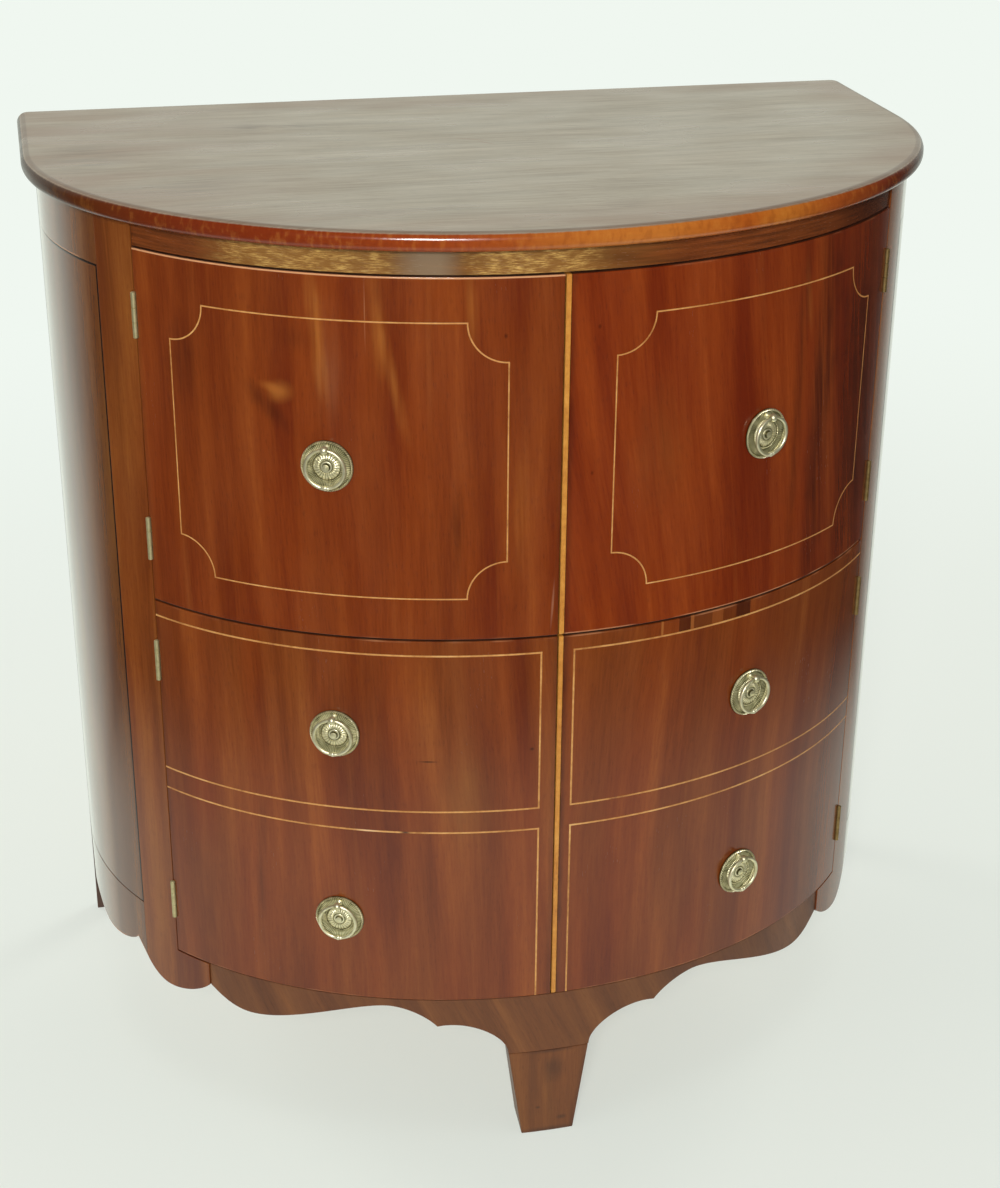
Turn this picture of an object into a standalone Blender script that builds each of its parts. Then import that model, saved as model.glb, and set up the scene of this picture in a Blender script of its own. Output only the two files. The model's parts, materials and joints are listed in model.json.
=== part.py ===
"""Demilune cabinet: a half-round mahogany carcass on three feet, closed by four bow-front doors.

Lengths are in metres and angles in degrees. The origin is on the floor under the middle of
the top, X runs along the front, Y goes from the front to the wall, and Z is up.

Every curved board is drawn flat first, as it is set out on the veneer before bending: X is
the distance along the bow from the middle of the front, Z is height, and Y is the depth into
the wood behind the show face. bend_round_bow then wraps it round the half-round plan.
"""

import math

import bmesh
import bpy
import numpy as np
from mathutils import Matrix, Vector

# Plan of the carcass: half an ellipse in front of two short straight returns
CARCASS_HALF_WIDTH = 0.412
BOW_DEPTH = 0.3368
RETURN_DEPTH = 0.1675
FACET_LENGTH = 0.024
ARC_SAMPLES = 4001

# Heights of the carcass
SILL_HEIGHT = 0.1637
CARCASS_HEIGHT = 0.8964

# Clearances
SEAM = 0.0003
OVERRUN = 0.002
WELD = 0.000001

# Top board
TOP_THICKNESS = 0.017
TOP_OVERHANG = 0.013
TOP_NOSE_RADIUS = 0.0075
TOP_CORNER_RADIUS = 0.012
ROUND_PROFILE_SHARE = 0.5
NOSE_SEGMENTS = 3
CORNER_STEPS = 4

# Front frame
FRAME_THICKNESS = 0.022
FRIEZE_HEIGHT = 0.0213
SET_BACK = 0.0015
STILE_OUTER_ARC = 0.432
STILE_WIDTH = 0.0487
EAR_REACH = 0.0398
EAR_DROP = 0.0459

# Side frame and its panel
SIDE_RAIL_HEIGHT = 0.0474
PANEL_SILL_RISE = 0.0348
PANEL_THICKNESS = 0.014
PANEL_CHAMFER = 0.0009

# Rear posts, which run down into the rear feet
POST_WIDTH = 0.044
POST_DEPTH = 0.034
REAR_FOOT_TAPER = 0.010
REAR_FOOT_RAKE = 0.022

# Front foot
APRON_DROP = 0.0657
FOOT_TOP_WIDTH = 0.080
FOOT_TOE_WIDTH = 0.052
FOOT_DEPTH = 0.040
FOOT_BLOCK_MARGIN = 0.006

# Scalloped bottom edge
SWEEP_STEPS = 5
FRONT_SWEEP_SHARES = (
    (0, 0), (0, 0.30), (0.12, 0.66), (0.227, 0.533),
    (0.262, 0.72), (0.33, 0.875), (0.385, 0.875),
    (0.50, 0.875), (0.72, 0.355), (0.85, 0.355),
    (0.92, 0.355), (0.965, 0.52), (1, 0.624),
)
EAR_SWEEP_SHARES = (
    (0, 0.473), (0.096, 0.266), (0.367, 0), (0.616, 0),
    (0.774, 0), (0.915, 0.19), (1, 0.386),
)
SIDE_SWEEP_SHARES = (
    (0, 0.386), (0.017, 0.505), (0.036, 0.64), (0.0515, 0.723),
    (0.075, 0.56), (0.172, 0.298), (0.268, 0.298),
    (0.344, 0.298), (0.405, 0.593), (0.491, 0.593),
)

# Boards inside
BASE_DROP = 0.0067
SHELF_THICKNESS = 0.016
BACK_THICKNESS = 0.010
BACK_DROP = 0.007
BACK_BOARDS = 3

# Doors
DOOR_THICKNESS = 0.020
DOOR_HEAD_GAP = 0.0015
DOOR_TIER_GAP = 0.003
DOOR_SIDE_GAP = 0.001
CLOSING_GAP = 0.001
LOWER_DOOR_HEIGHT = 0.379
UPPER_BEAD_WIDTH = 0.0065
LOWER_BEAD_WIDTH = 0.0050

# Boxwood stringing let into the doors
STRING_WIDTH = 0.0013
STRING_THICKNESS = 0.0010
PANEL_STRING_RADIUS = 0.0345
PANEL_STRING_MARGIN = 0.0385
PANEL_STRING_INNER_ARC = 0.0465
PANEL_STRING_HINGE_MARGIN = 0.0378
STRING_ARC_STEPS = 4
DRAWER_STRING_INNER_ARC = 0.0150
DRAWER_STRING_HEAD = 0.0138
DRAWER_STRING_SPLIT = 0.022
LOWER_DRAWER_HEIGHT = 0.1958

# Butt hinges, let into the door edge and the stile
HINGE_LENGTH = 0.0405
KNUCKLE_RADIUS = 0.0022
KNUCKLE_PROUD = 0.001
PIN_RADIUS = 0.0010
PIN_HEAD_RADIUS = 0.0018
PIN_HEAD_HEIGHT = 0.0006
LEAF_THICKNESS = 0.001
LEAF_DEPTH = 0.015
KNUCKLES = 3
KNUCKLE_SIDES = 8
HINGE_END_DISTANCE = 0.0590
LOWER_HINGE_TOP_DISTANCE = 0.0600

# Ring pulls, each as a share of the height of its door or sham drawer
PULL_ARC = 0.200
PULL_FACET = 0.023
UPPER_PULL_SHARE = 0.487
TOP_PULL_SHARE = 0.480
BOTTOM_PULL_SHARE = 0.448
PLATE_RADIUS = 0.022
PLATE_RELIEF = 0.0062
PLATE_FLAT_SHARE = 0.19
PLATE_SHARES = (
    (0, 1), (0.13, 0.90), (0.16, 0.52), (0.34, 0.47), (0.44, 0.32), (0.56, 0.36),
    (0.60, PLATE_FLAT_SHARE), (0.926, PLATE_FLAT_SHARE), (0.94, 0.42), (0.98, 0.44),
    (1, 0.26), (1, 0), (0, 0),
)
PLATE_STEPS = 16
RING_RADIUS = 0.017
RING_WIRE_RADIUS = 0.0015
RING_STAND_OFF = 0.009
RING_SEGMENTS = 18
RING_WIRE_SIDES = 6
EYE_RADIUS = 0.0038
EYE_CLEARANCE = 0.0008
EYE_ARC_STEPS = 5
STUD_RADIUS = 0.0020
STUD_SIDES = 8
COLLAR_RADIUS = 0.0031
COLLAR_HEIGHT = 0.0010
NUT_WIDTH = 0.009
NUT_HEIGHT = 0.003

# Finishes: colour, roughness, metallic
MAHOGANY = ((0.34, 0.105, 0.035), 0.22, 0.0)
DARK_MAHOGANY = ((0.19, 0.060, 0.022), 0.30, 0.0)
TOP_MAHOGANY = ((0.36, 0.17, 0.11), 0.16, 0.0)
PINE = ((0.52, 0.33, 0.16), 0.75, 0.0)
BOXWOOD = ((0.78, 0.50, 0.24), 0.35, 0.0)
BRASS = ((0.66, 0.57, 0.33), 0.32, 1.0)

# Sizes that follow from the ones above
BACK_PLANE = (RETURN_DEPTH + BOW_DEPTH + TOP_OVERHANG) / 2
ELLIPSE_CENTRE = BACK_PLANE - RETURN_DEPTH
INNER_FACE = FRAME_THICKNESS + SEAM
BASE_HEIGHT = SILL_HEIGHT - BASE_DROP
DOOR_BOTTOM = SILL_HEIGHT + DOOR_HEAD_GAP
LOWER_DOOR_TOP = DOOR_BOTTOM + LOWER_DOOR_HEIGHT
UPPER_DOOR_BOTTOM = LOWER_DOOR_TOP + DOOR_TIER_GAP
FRIEZE_BOTTOM = CARCASS_HEIGHT - SEAM - FRIEZE_HEIGHT
UPPER_DOOR_TOP = FRIEZE_BOTTOM - DOOR_HEAD_GAP
DRAWER_SPLIT_HEIGHT = DOOR_BOTTOM + LOWER_DRAWER_HEIGHT
UPPER_PULL_HEIGHT = UPPER_DOOR_BOTTOM + UPPER_PULL_SHARE * (UPPER_DOOR_TOP - UPPER_DOOR_BOTTOM)
LOWER_PULL_HEIGHTS = (
    DRAWER_SPLIT_HEIGHT + TOP_PULL_SHARE * (LOWER_DOOR_TOP - DRAWER_SPLIT_HEIGHT),
    DOOR_BOTTOM + BOTTOM_PULL_SHARE * LOWER_DRAWER_HEIGHT,
)
HINGE_ARC = STILE_OUTER_ARC - STILE_WIDTH
DOOR_EDGE_ARC = HINGE_ARC - DOOR_SIDE_GAP / 2
STILE_INNER_ARC = HINGE_ARC + DOOR_SIDE_GAP / 2
PANEL_STRING_OUTER_ARC = DOOR_EDGE_ARC - PANEL_STRING_HINGE_MARGIN
EAR_ARC = HINGE_ARC - EAR_REACH
EAR_LOW_HEIGHT = SILL_HEIGHT - EAR_DROP
FOOT_HEIGHT = SILL_HEIGHT - APRON_DROP
SHELF_HEIGHT = UPPER_DOOR_BOTTOM - DOOR_TIER_GAP / 2 - SHELF_THICKNESS / 2
PANEL_SILL_HEIGHT = SILL_HEIGHT + PANEL_SILL_RISE
PANEL_HEAD_HEIGHT = CARCASS_HEIGHT - SEAM - SIDE_RAIL_HEIGHT
REAR_FOOT_HEIGHT = EAR_LOW_HEIGHT + SIDE_SWEEP_SHARES[-1][1] * EAR_DROP
POST_INNER = CARCASS_HALF_WIDTH - POST_WIDTH
GROOVE_DEPTH = STRING_THICKNESS + SEAM

parts = bpy.data.collections.new("demilune_cabinet")


def ellipse_arcs():
    """Angles from the middle of the front to the return, and the arc length to each."""
    angles = np.linspace(0, math.pi / 2, ARC_SAMPLES)
    across = CARCASS_HALF_WIDTH * np.sin(angles)
    deep = BOW_DEPTH * np.cos(angles)
    steps = np.hypot(np.diff(across), np.diff(deep))
    return angles, np.concatenate([[0.0], np.cumsum(steps)])


ANGLES, ARCS = ellipse_arcs()
BOW_ARC = float(ARCS[-1])
BACK_ARC = BOW_ARC + RETURN_DEPTH
POST_ARC = BACK_ARC - POST_DEPTH - SEAM


def station_arcs():
    """Arcs at which the bow is faceted, with one flat facet centred behind each pull."""
    breaks = [0, PULL_ARC - PULL_FACET / 2, PULL_ARC + PULL_FACET / 2]
    breaks += [HINGE_ARC, STILE_OUTER_ARC, BOW_ARC]
    arcs = [0.0]
    for start, end in zip(breaks, breaks[1:]):
        count = max(1, math.ceil((end - start) / FACET_LENGTH))
        arcs += [start + (end - start) * step / count for step in range(1, count + 1)]
    arcs.append(BACK_ARC)
    return np.array([-arc for arc in reversed(arcs[1:])] + arcs)


def true_bow(arc):
    """Point of the carcass plan at this arc, and the outward normal there."""
    side = math.copysign(1, arc)
    if abs(arc) >= BOW_ARC:
        along = ELLIPSE_CENTRE + abs(arc) - BOW_ARC
        return (side * CARCASS_HALF_WIDTH, along), (side, 0.0)
    angle = float(np.interp(abs(arc), ARCS, ANGLES))
    point = (side * CARCASS_HALF_WIDTH * math.sin(angle), ELLIPSE_CENTRE - BOW_DEPTH * math.cos(angle))
    normal = Vector((side * math.sin(angle) / CARCASS_HALF_WIDTH, -math.cos(angle) / BOW_DEPTH))
    return point, tuple(normal.normalized())


STATIONS = station_arcs()
STATION_POINTS = np.array([true_bow(arc)[0] for arc in STATIONS])
STATION_NORMALS = np.array([true_bow(arc)[1] for arc in STATIONS])


def on_bow(arc, depth):
    """Plan position at this arc and this depth behind the show face of the faceted bow."""
    x = np.interp(arc, STATIONS, STATION_POINTS[:, 0] - depth * STATION_NORMALS[:, 0])
    y = np.interp(arc, STATIONS, STATION_POINTS[:, 1] - depth * STATION_NORMALS[:, 1])
    return float(x), float(y)


def bow_frame(arc, height):
    """Matrix at a point of the show face: X along the bow, Y into the wood, Z up."""
    face = Vector(on_bow(arc, 0) + (height,))
    behind = Vector(on_bow(arc, FRAME_THICKNESS) + (height,))
    inward = (behind - face).normalized()
    up = Vector((0, 0, 1))
    along = inward.cross(up)
    return Matrix.Translation(face) @ Matrix((along, inward, up)).transposed().to_4x4()


def edit(mesh, action):
    """Run one bmesh action on a mesh."""
    work = bmesh.new()
    work.from_mesh(mesh)
    action(work)
    work.to_mesh(mesh)
    work.free()
    return mesh


def evaluated_mesh(blank):
    """The mesh of an object with its modifiers applied; the object is removed."""
    bpy.context.scene.collection.objects.link(blank)
    bpy.context.view_layer.update()
    graph = bpy.context.evaluated_depsgraph_get()
    mesh = bpy.data.meshes.new_from_object(blank.evaluated_get(graph))
    bpy.data.objects.remove(blank)
    return mesh


def extruded(loops, thickness):
    """Outline loops drawn in XY, filled, and extruded half the thickness up and down."""
    drawing = bpy.data.curves.new("drawing", "CURVE")
    drawing.dimensions = "2D"
    drawing.fill_mode = "BOTH"
    drawing.extrude = thickness / 2
    for loop in loops:
        spline = drawing.splines.new("POLY")
        spline.points.add(len(loop) - 1)
        for point, (across, up) in zip(spline.points, loop):
            point.co = (across, up, 0, 1)
        spline.use_cyclic_u = True
    mesh = evaluated_mesh(bpy.data.objects.new("drawing", drawing))

    def weld(work):
        bmesh.ops.remove_doubles(work, verts=work.verts, dist=WELD)
        bmesh.ops.recalc_face_normals(work, faces=work.faces)
        if len(loops) == 1:
            flat = math.radians(1)
            bmesh.ops.dissolve_limit(
                work, angle_limit=flat, use_dissolve_boundaries=False, verts=[], edges=work.edges
            )

    return edit(mesh, weld)


def flat_board(loops, front, thickness):
    """A board set out flat, its outline in arc and height and its show face at depth front."""
    mesh = extruded(loops, thickness)
    upright = Matrix.Rotation(math.radians(90), 4, "X")
    mesh.transform(Matrix.Translation((0, front + thickness / 2, 0)) @ upright)
    return mesh


def plan_board(loop, bottom, thickness):
    """A level board from its outline in plan."""
    mesh = extruded([loop], thickness)
    mesh.transform(Matrix.Translation((0, 0, bottom + thickness / 2)))
    return mesh


def rectangle(left, right, bottom, top):
    """Corners of an upright rectangle, anticlockwise."""
    return [(left, bottom), (right, bottom), (right, top), (left, top)]


def box(low, high):
    """A box between two corners."""
    mesh = bpy.data.meshes.new("box")
    size = [b - a for a, b in zip(low, high)]
    centre = [(a + b) / 2 for a, b in zip(low, high)]
    place = Matrix.Translation(centre) @ Matrix.Diagonal((*size, 1))
    return edit(mesh, lambda work: bmesh.ops.create_cube(work, size=1, matrix=place))


def rod(centre, axis, radius, length, sides):
    """A cylinder about an axis through its centre."""
    mesh = bpy.data.meshes.new("rod")
    turn = Vector((0, 0, 1)).rotation_difference(Vector(axis)).to_matrix().to_4x4()
    place = Matrix.Translation(centre) @ turn
    return edit(mesh, lambda work: bmesh.ops.create_cone(
        work, cap_ends=True, segments=sides, radius1=radius, radius2=radius, depth=length, matrix=place
    ))


def turned(profile, steps):
    """A lathe form about Z from (radius, height) points that run down its outer side."""
    mesh = bpy.data.meshes.new("turned")
    mesh.from_pydata([(radius, 0, height) for radius, height in profile],
                     [(at, at + 1) for at in range(len(profile) - 1)], [])
    blank = bpy.data.objects.new("turned", mesh)
    screw = blank.modifiers.new("lathe", "SCREW")
    screw.axis = "Z"
    screw.steps = steps
    screw.render_steps = steps
    screw.use_merge_vertices = True
    screw.merge_threshold = WELD
    return evaluated_mesh(blank)


def combined(mesh, others, operation):
    """A mesh after a Boolean with each of the other meshes."""
    blank = bpy.data.objects.new("blank", mesh)
    tools = []
    for other in others:
        tool = bpy.data.objects.new("tool", other)
        bpy.context.scene.collection.objects.link(tool)
        tools.append(tool)
        modifier = blank.modifiers.new("tool", "BOOLEAN")
        modifier.operation = operation
        modifier.object = tool
    result = evaluated_mesh(blank)
    for tool in tools:
        bpy.data.objects.remove(tool)
    return edit(result, lambda work: bmesh.ops.remove_doubles(work, verts=work.verts, dist=WELD))


def bend_round_bow(mesh):
    """Fold a flat mesh at every station of the bow and wrap it round the plan."""

    def bend(work):
        for station in STATIONS:
            bmesh.ops.bisect_plane(
                work, geom=work.verts[:] + work.edges[:] + work.faces[:], dist=WELD,
                plane_co=(station, 0, 0), plane_no=(1, 0, 0),
            )
        for vertex in work.verts:
            vertex.co = on_bow(vertex.co.x, vertex.co.y) + (vertex.co.z,)

    return edit(mesh, bend)


def add_part(name, mesh, finish, parent=None, place=None, smooth=False):
    """Put a finished mesh into the model as one named piece with its own material."""
    colour, roughness, metallic = finish
    material = bpy.data.materials.new(name)
    material.use_nodes = True
    shader = material.node_tree.nodes["Principled BSDF"]
    shader.inputs["Base Color"].default_value = (*colour, 1)
    shader.inputs["Roughness"].default_value = roughness
    shader.inputs["Metallic"].default_value = metallic
    mesh.name = name
    mesh.materials.clear()
    mesh.materials.append(material)
    if smooth:
        mesh.shade_smooth()
        mesh.set_sharp_from_angle(angle=math.radians(35))
    piece = bpy.data.objects.new(name, mesh)
    parts.objects.link(piece)
    if place is not None:
        piece.matrix_world = place
    if parent is not None:
        piece.parent = parent
        piece.matrix_parent_inverse = parent.matrix_world.inverted()
    return piece


def add_pivot(name, place, parent=None):
    """An empty on a joint's axis, which the moving pieces are parented to."""
    pivot = bpy.data.objects.new(name, None)
    parts.objects.link(pivot)
    pivot.empty_display_size = HINGE_LENGTH / 2
    pivot.matrix_world = place
    if parent is not None:
        pivot.parent = parent
        pivot.matrix_parent_inverse = parent.matrix_world.inverted()
    bpy.context.view_layer.update()
    return pivot


def between(shares, start, end):
    """Points at the given shares of the way from one corner of a field to the other."""
    return [
        (start[0] + across * (end[0] - start[0]), start[1] + up * (end[1] - start[1]))
        for across, up in shares
    ]


def swept(points):
    """Cubic sweeps through every third point, pulled by the two points between them."""
    path = [points[0]]
    for first in range(0, len(points) - 1, 3):
        corners = np.array(points[first:first + 4])
        for step in range(1, SWEEP_STEPS + 1):
            share = step / SWEEP_STEPS
            rest = 1 - share
            weights = (rest ** 3, 3 * rest ** 2 * share, 3 * rest * share ** 2, share ** 3)
            path.append(tuple(weights @ corners))
    return path


def mirrored(loop):
    """The same outline on the other side of the middle, still anticlockwise."""
    return [(-across, up) for across, up in reversed(loop)]


def sided(loop, side):
    """An outline drawn for the right-hand side, on the side asked for."""
    return loop if side > 0 else mirrored(loop)


def inset_plan(depth, arcs):
    """Plan points at one depth behind the show face."""
    return [on_bow(arc, depth) for arc in arcs]


def build_top():
    """Solid top with a bullnose front and side edge, square at the wall."""
    overhang = CARCASS_HALF_WIDTH + TOP_OVERHANG
    corner = [
        (
            overhang - TOP_CORNER_RADIUS * (1 - math.cos(turn)),
            BACK_PLANE - TOP_CORNER_RADIUS * (1 - math.sin(turn)),
        )
        for turn in np.linspace(0, math.pi / 2, CORNER_STEPS + 1)
    ]
    loop = inset_plan(-TOP_OVERHANG, STATIONS[1:-1])
    loop += corner + [(-x, y) for x, y in reversed(corner)]
    mesh = plan_board(loop, CARCASS_HEIGHT, TOP_THICKNESS)

    def round_nose(work):
        rim = [
            edge for edge in work.edges
            if abs(edge.verts[0].co.z - edge.verts[1].co.z) < WELD
            and min(vertex.co.y for vertex in edge.verts) < BACK_PLANE - WELD
        ]
        bmesh.ops.bevel(
            work, geom=rim, offset=TOP_NOSE_RADIUS, offset_type="OFFSET", affect="EDGES",
            segments=NOSE_SEGMENTS, profile=ROUND_PROFILE_SHARE, clamp_overlap=True,
        )

    add_part("top_board", edit(mesh, round_nose), TOP_MAHOGANY, smooth=True)


def build_front_frame():
    """Frieze rail over the doors and scalloped apron under them, both set back a little."""
    half = STILE_INNER_ARC - SEAM
    rail = rectangle(-half, half, FRIEZE_BOTTOM, CARCASS_HEIGHT - SEAM)
    add_part("frieze_rail", bend_round_bow(
        flat_board([rail], SET_BACK, FRAME_THICKNESS - SET_BACK)), DARK_MAHOGANY)

    half = EAR_ARC - SEAM
    right = swept(between(
        FRONT_SWEEP_SHARES, (FOOT_TOP_WIDTH / 2, FOOT_HEIGHT), (half, SILL_HEIGHT)))
    apron = mirrored(right) + right + [(half, SILL_HEIGHT), (-half, SILL_HEIGHT)]
    add_part("front_apron", bend_round_bow(
        flat_board([apron], SET_BACK, FRAME_THICKNESS - SET_BACK)), DARK_MAHOGANY)

    top = FOOT_TOP_WIDTH / 2
    toe = FOOT_TOE_WIDTH / 2
    foot = [(-toe, 0), (toe, 0), (top, FOOT_HEIGHT - SEAM), (-top, FOOT_HEIGHT - SEAM)]
    add_part("front_foot", bend_round_bow(flat_board([foot], SET_BACK, FOOT_DEPTH)), DARK_MAHOGANY)

    half = top - FOOT_BLOCK_MARGIN
    block = rectangle(-half, half, FOOT_HEIGHT, BASE_HEIGHT - SEAM)
    block_depth = FOOT_DEPTH + SET_BACK - INNER_FACE
    add_part("front_foot_block", bend_round_bow(
        flat_board([block], INNER_FACE, block_depth)), PINE)


def build_side(side, label, cutters):
    """Stile with its ear, side rail, panel and apron, and the rear post of one side."""
    top = CARCASS_HEIGHT - SEAM
    ear = swept(between(
        EAR_SWEEP_SHARES, (EAR_ARC, EAR_LOW_HEIGHT), (STILE_OUTER_ARC, SILL_HEIGHT)))
    stile = ear + [
        (STILE_OUTER_ARC, top), (STILE_INNER_ARC, top),
        (STILE_INNER_ARC, SILL_HEIGHT), (EAR_ARC, SILL_HEIGHT),
    ]
    mesh = flat_board([sided(stile, side)], 0, FRAME_THICKNESS)
    mesh = combined(mesh, cutters, "DIFFERENCE")
    add_part(f"{label}_stile", bend_round_bow(mesh), MAHOGANY)

    start = STILE_OUTER_ARC + SEAM
    rail = rectangle(start, POST_ARC, PANEL_HEAD_HEIGHT, top)
    add_part(f"{label}_side_rail", bend_round_bow(
        flat_board([sided(rail, side)], 0, FRAME_THICKNESS)), MAHOGANY)

    low = swept(between(SIDE_SWEEP_SHARES, (start, EAR_LOW_HEIGHT), (POST_ARC, SILL_HEIGHT)))
    level = low[-1][1]
    apron = low + [(POST_ARC, level), (POST_ARC, PANEL_SILL_HEIGHT), (start, PANEL_SILL_HEIGHT)]
    add_part(f"{label}_side_apron", bend_round_bow(
        flat_board([sided(apron, side)], 0, FRAME_THICKNESS)), MAHOGANY)

    panel = rectangle(
        start, POST_ARC - SEAM, PANEL_SILL_HEIGHT + SEAM, PANEL_HEAD_HEIGHT - SEAM)
    mesh = flat_board([sided(panel, side)], 0, PANEL_THICKNESS)

    def chamfer(work):
        rim = [edge for edge in work.edges if max(abs(end.co.y) for end in edge.verts) < WELD]
        bmesh.ops.bevel(
            work, geom=rim, offset=PANEL_CHAMFER, offset_type="OFFSET", affect="EDGES",
            segments=1, profile=ROUND_PROFILE_SHARE,
        )

    add_part(f"{label}_side_panel", bend_round_bow(edit(mesh, chamfer)), MAHOGANY)

    outer = side * CARCASS_HALF_WIDTH
    inner = side * POST_INNER
    post = [
        (outer, 0), (outer, top), (inner, top), (inner, REAR_FOOT_HEIGHT),
        (inner + side * REAR_FOOT_TAPER, 0),
    ]
    mesh = flat_board([post], BACK_PLANE - POST_DEPTH, POST_DEPTH)

    def rake_foot(work):
        bmesh.ops.bisect_plane(
            work, geom=work.verts[:] + work.edges[:] + work.faces[:], dist=WELD,
            plane_co=(0, 0, REAR_FOOT_HEIGHT), plane_no=(0, 0, 1),
        )
        for vertex in work.verts:
            if vertex.co.z < WELD and vertex.co.y < BACK_PLANE - WELD:
                vertex.co.y += REAR_FOOT_RAKE

    add_part(f"{label}_rear_post", edit(mesh, rake_foot), DARK_MAHOGANY)


def level_board(name, bottom):
    """A half-round board inside the frame, notched round the rear posts."""
    behind = BACK_PLANE - BACK_THICKNESS - SEAM
    notch_y = BACK_PLANE - POST_DEPTH - SEAM
    notch_x = POST_INNER - SEAM
    side_x = CARCASS_HALF_WIDTH - INNER_FACE
    notch = [(side_x, notch_y), (notch_x, notch_y), (notch_x, behind)]
    loop = inset_plan(INNER_FACE, STATIONS[1:-1]) + notch + [(-x, y) for x, y in reversed(notch)]
    add_part(name, plan_board(loop, bottom, SHELF_THICKNESS), PINE)


def build_inside():
    """Base board, dividing shelf and the upright boards of the back."""
    level_board("base_board", BASE_HEIGHT)
    level_board("middle_shelf", SHELF_HEIGHT)

    half = POST_INNER - SEAM
    pitch = 2 * half / BACK_BOARDS
    for number in range(BACK_BOARDS):
        left = -half + number * pitch
        right = left + pitch - (SEAM if number < BACK_BOARDS - 1 else 0)
        board = rectangle(left, right, BASE_HEIGHT - BACK_DROP, CARCASS_HEIGHT - SEAM)
        add_part(f"back_board_{number + 1}", flat_board(
            [board], BACK_PLANE - BACK_THICKNESS, BACK_THICKNESS), PINE)


def hinge_cutters(heights):
    """Flat cutters for the barrel pocket and both leaf mortises of hinges on the right."""
    pocket = KNUCKLE_RADIUS + SEAM
    leaf = LEAF_THICKNESS + 2 * SEAM
    half = HINGE_LENGTH / 2 + SEAM
    cutters = []
    for height in heights:
        low, high = height - half, height + half
        barrel = box(
            (HINGE_ARC - pocket, -OVERRUN, low), (HINGE_ARC + pocket, pocket - KNUCKLE_PROUD, high))
        mortise = box(
            (HINGE_ARC - leaf, -OVERRUN, low), (HINGE_ARC + leaf, LEAF_DEPTH + SEAM, high))
        cutters += [barrel, mortise]
    return cutters


def on_side(meshes, side):
    """Cutters drawn for the right-hand side, on the side asked for."""
    if side > 0:
        return meshes
    flip = Matrix.Diagonal((-1, 1, 1, 1))
    for mesh in meshes:
        mesh.transform(flip)
        mesh.flip_normals()
    return meshes


def hinge_leaf(toward, own_knuckles):
    """One leaf with its solid knuckles, on the side toward, in the hinge's own frame."""
    section = HINGE_LENGTH / KNUCKLES
    near = toward * SEAM
    far = toward * (SEAM + LEAF_THICKNESS)
    left, right = min(near, far), max(near, far)
    clear = KNUCKLE_RADIUS + SEAM
    half = HINGE_LENGTH / 2
    plate = box((left, clear, -half), (right, LEAF_DEPTH + KNUCKLE_PROUD, half))
    joined = []
    for number in own_knuckles:
        low = -half + number * section + (SEAM / 2 if number > 0 else 0)
        high = -half + (number + 1) * section - (SEAM / 2 if number < KNUCKLES - 1 else 0)
        centre = (0, 0, (low + high) / 2)
        joined.append(rod(centre, (0, 0, 1), KNUCKLE_RADIUS, high - low, KNUCKLE_SIDES))
        joined.append(box((left, PIN_RADIUS + 2 * SEAM, low), (right, clear + LEAF_THICKNESS, high)))
    return combined(plate, joined, "UNION")


def door_leaf(side):
    """The swinging leaf, whose middle knuckles are bored for the pin."""
    leaf = hinge_leaf(-side, range(1, KNUCKLES, 2))
    bore = rod((0, 0, 0), (0, 0, 1), PIN_RADIUS + SEAM, HINGE_LENGTH, KNUCKLE_SIDES)
    return combined(leaf, [bore], "DIFFERENCE")


def stile_leaf(side):
    """The fixed leaf, with the pin riveted in its outer knuckles."""
    leaf = hinge_leaf(side, range(0, KNUCKLES, 2))
    half = HINGE_LENGTH / 2
    tip = half + PIN_HEAD_HEIGHT
    pin = turned(
        [(0, tip), (PIN_HEAD_RADIUS, half), (PIN_HEAD_RADIUS, half - PIN_HEAD_HEIGHT),
         (PIN_RADIUS, half - PIN_HEAD_HEIGHT), (PIN_RADIUS, PIN_HEAD_HEIGHT - half),
         (PIN_HEAD_RADIUS, PIN_HEAD_HEIGHT - half), (PIN_HEAD_RADIUS, -half), (0, -tip)],
        KNUCKLE_SIDES)
    return combined(leaf, [pin], "UNION")


def hinge_axis(side, height):
    """The hinge's own frame: its axis stands just proud of the face, in the door's side gap."""
    return bow_frame(side * HINGE_ARC, height) @ Matrix.Translation((0, -KNUCKLE_PROUD, 0))


def cusped_loop(door, outward):
    """Panel outline with hollow quarter-round corners, grown outward by half the string width."""
    left, right, bottom, top = door
    reach = PANEL_STRING_RADIUS - outward
    start = math.asin(-outward / reach)
    turns = np.linspace(start, math.pi / 2 - start, STRING_ARC_STEPS + 1)
    corners = (
        ((left, bottom), (1, 0), (0, 1)), ((left, top), (0, -1), (1, 0)),
        ((right, top), (-1, 0), (0, -1)), ((right, bottom), (0, 1), (-1, 0)),
    )
    loop = []
    for (x, z), first, second in corners:
        for turn in reversed(turns):
            cos, sin = math.cos(turn), math.sin(turn)
            loop.append((
                x + reach * (first[0] * sin + second[0] * cos),
                z + reach * (first[1] * sin + second[1] * cos),
            ))
    return loop


def panel_string(spare):
    """Loops of the upper door's string line, widened by spare on both sides."""
    door = (
        PANEL_STRING_INNER_ARC, PANEL_STRING_OUTER_ARC,
        UPPER_DOOR_BOTTOM + PANEL_STRING_MARGIN, UPPER_DOOR_TOP - PANEL_STRING_MARGIN,
    )
    grow = STRING_WIDTH / 2 + spare
    return [[cusped_loop(door, grow), cusped_loop(door, -grow)]]


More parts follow.
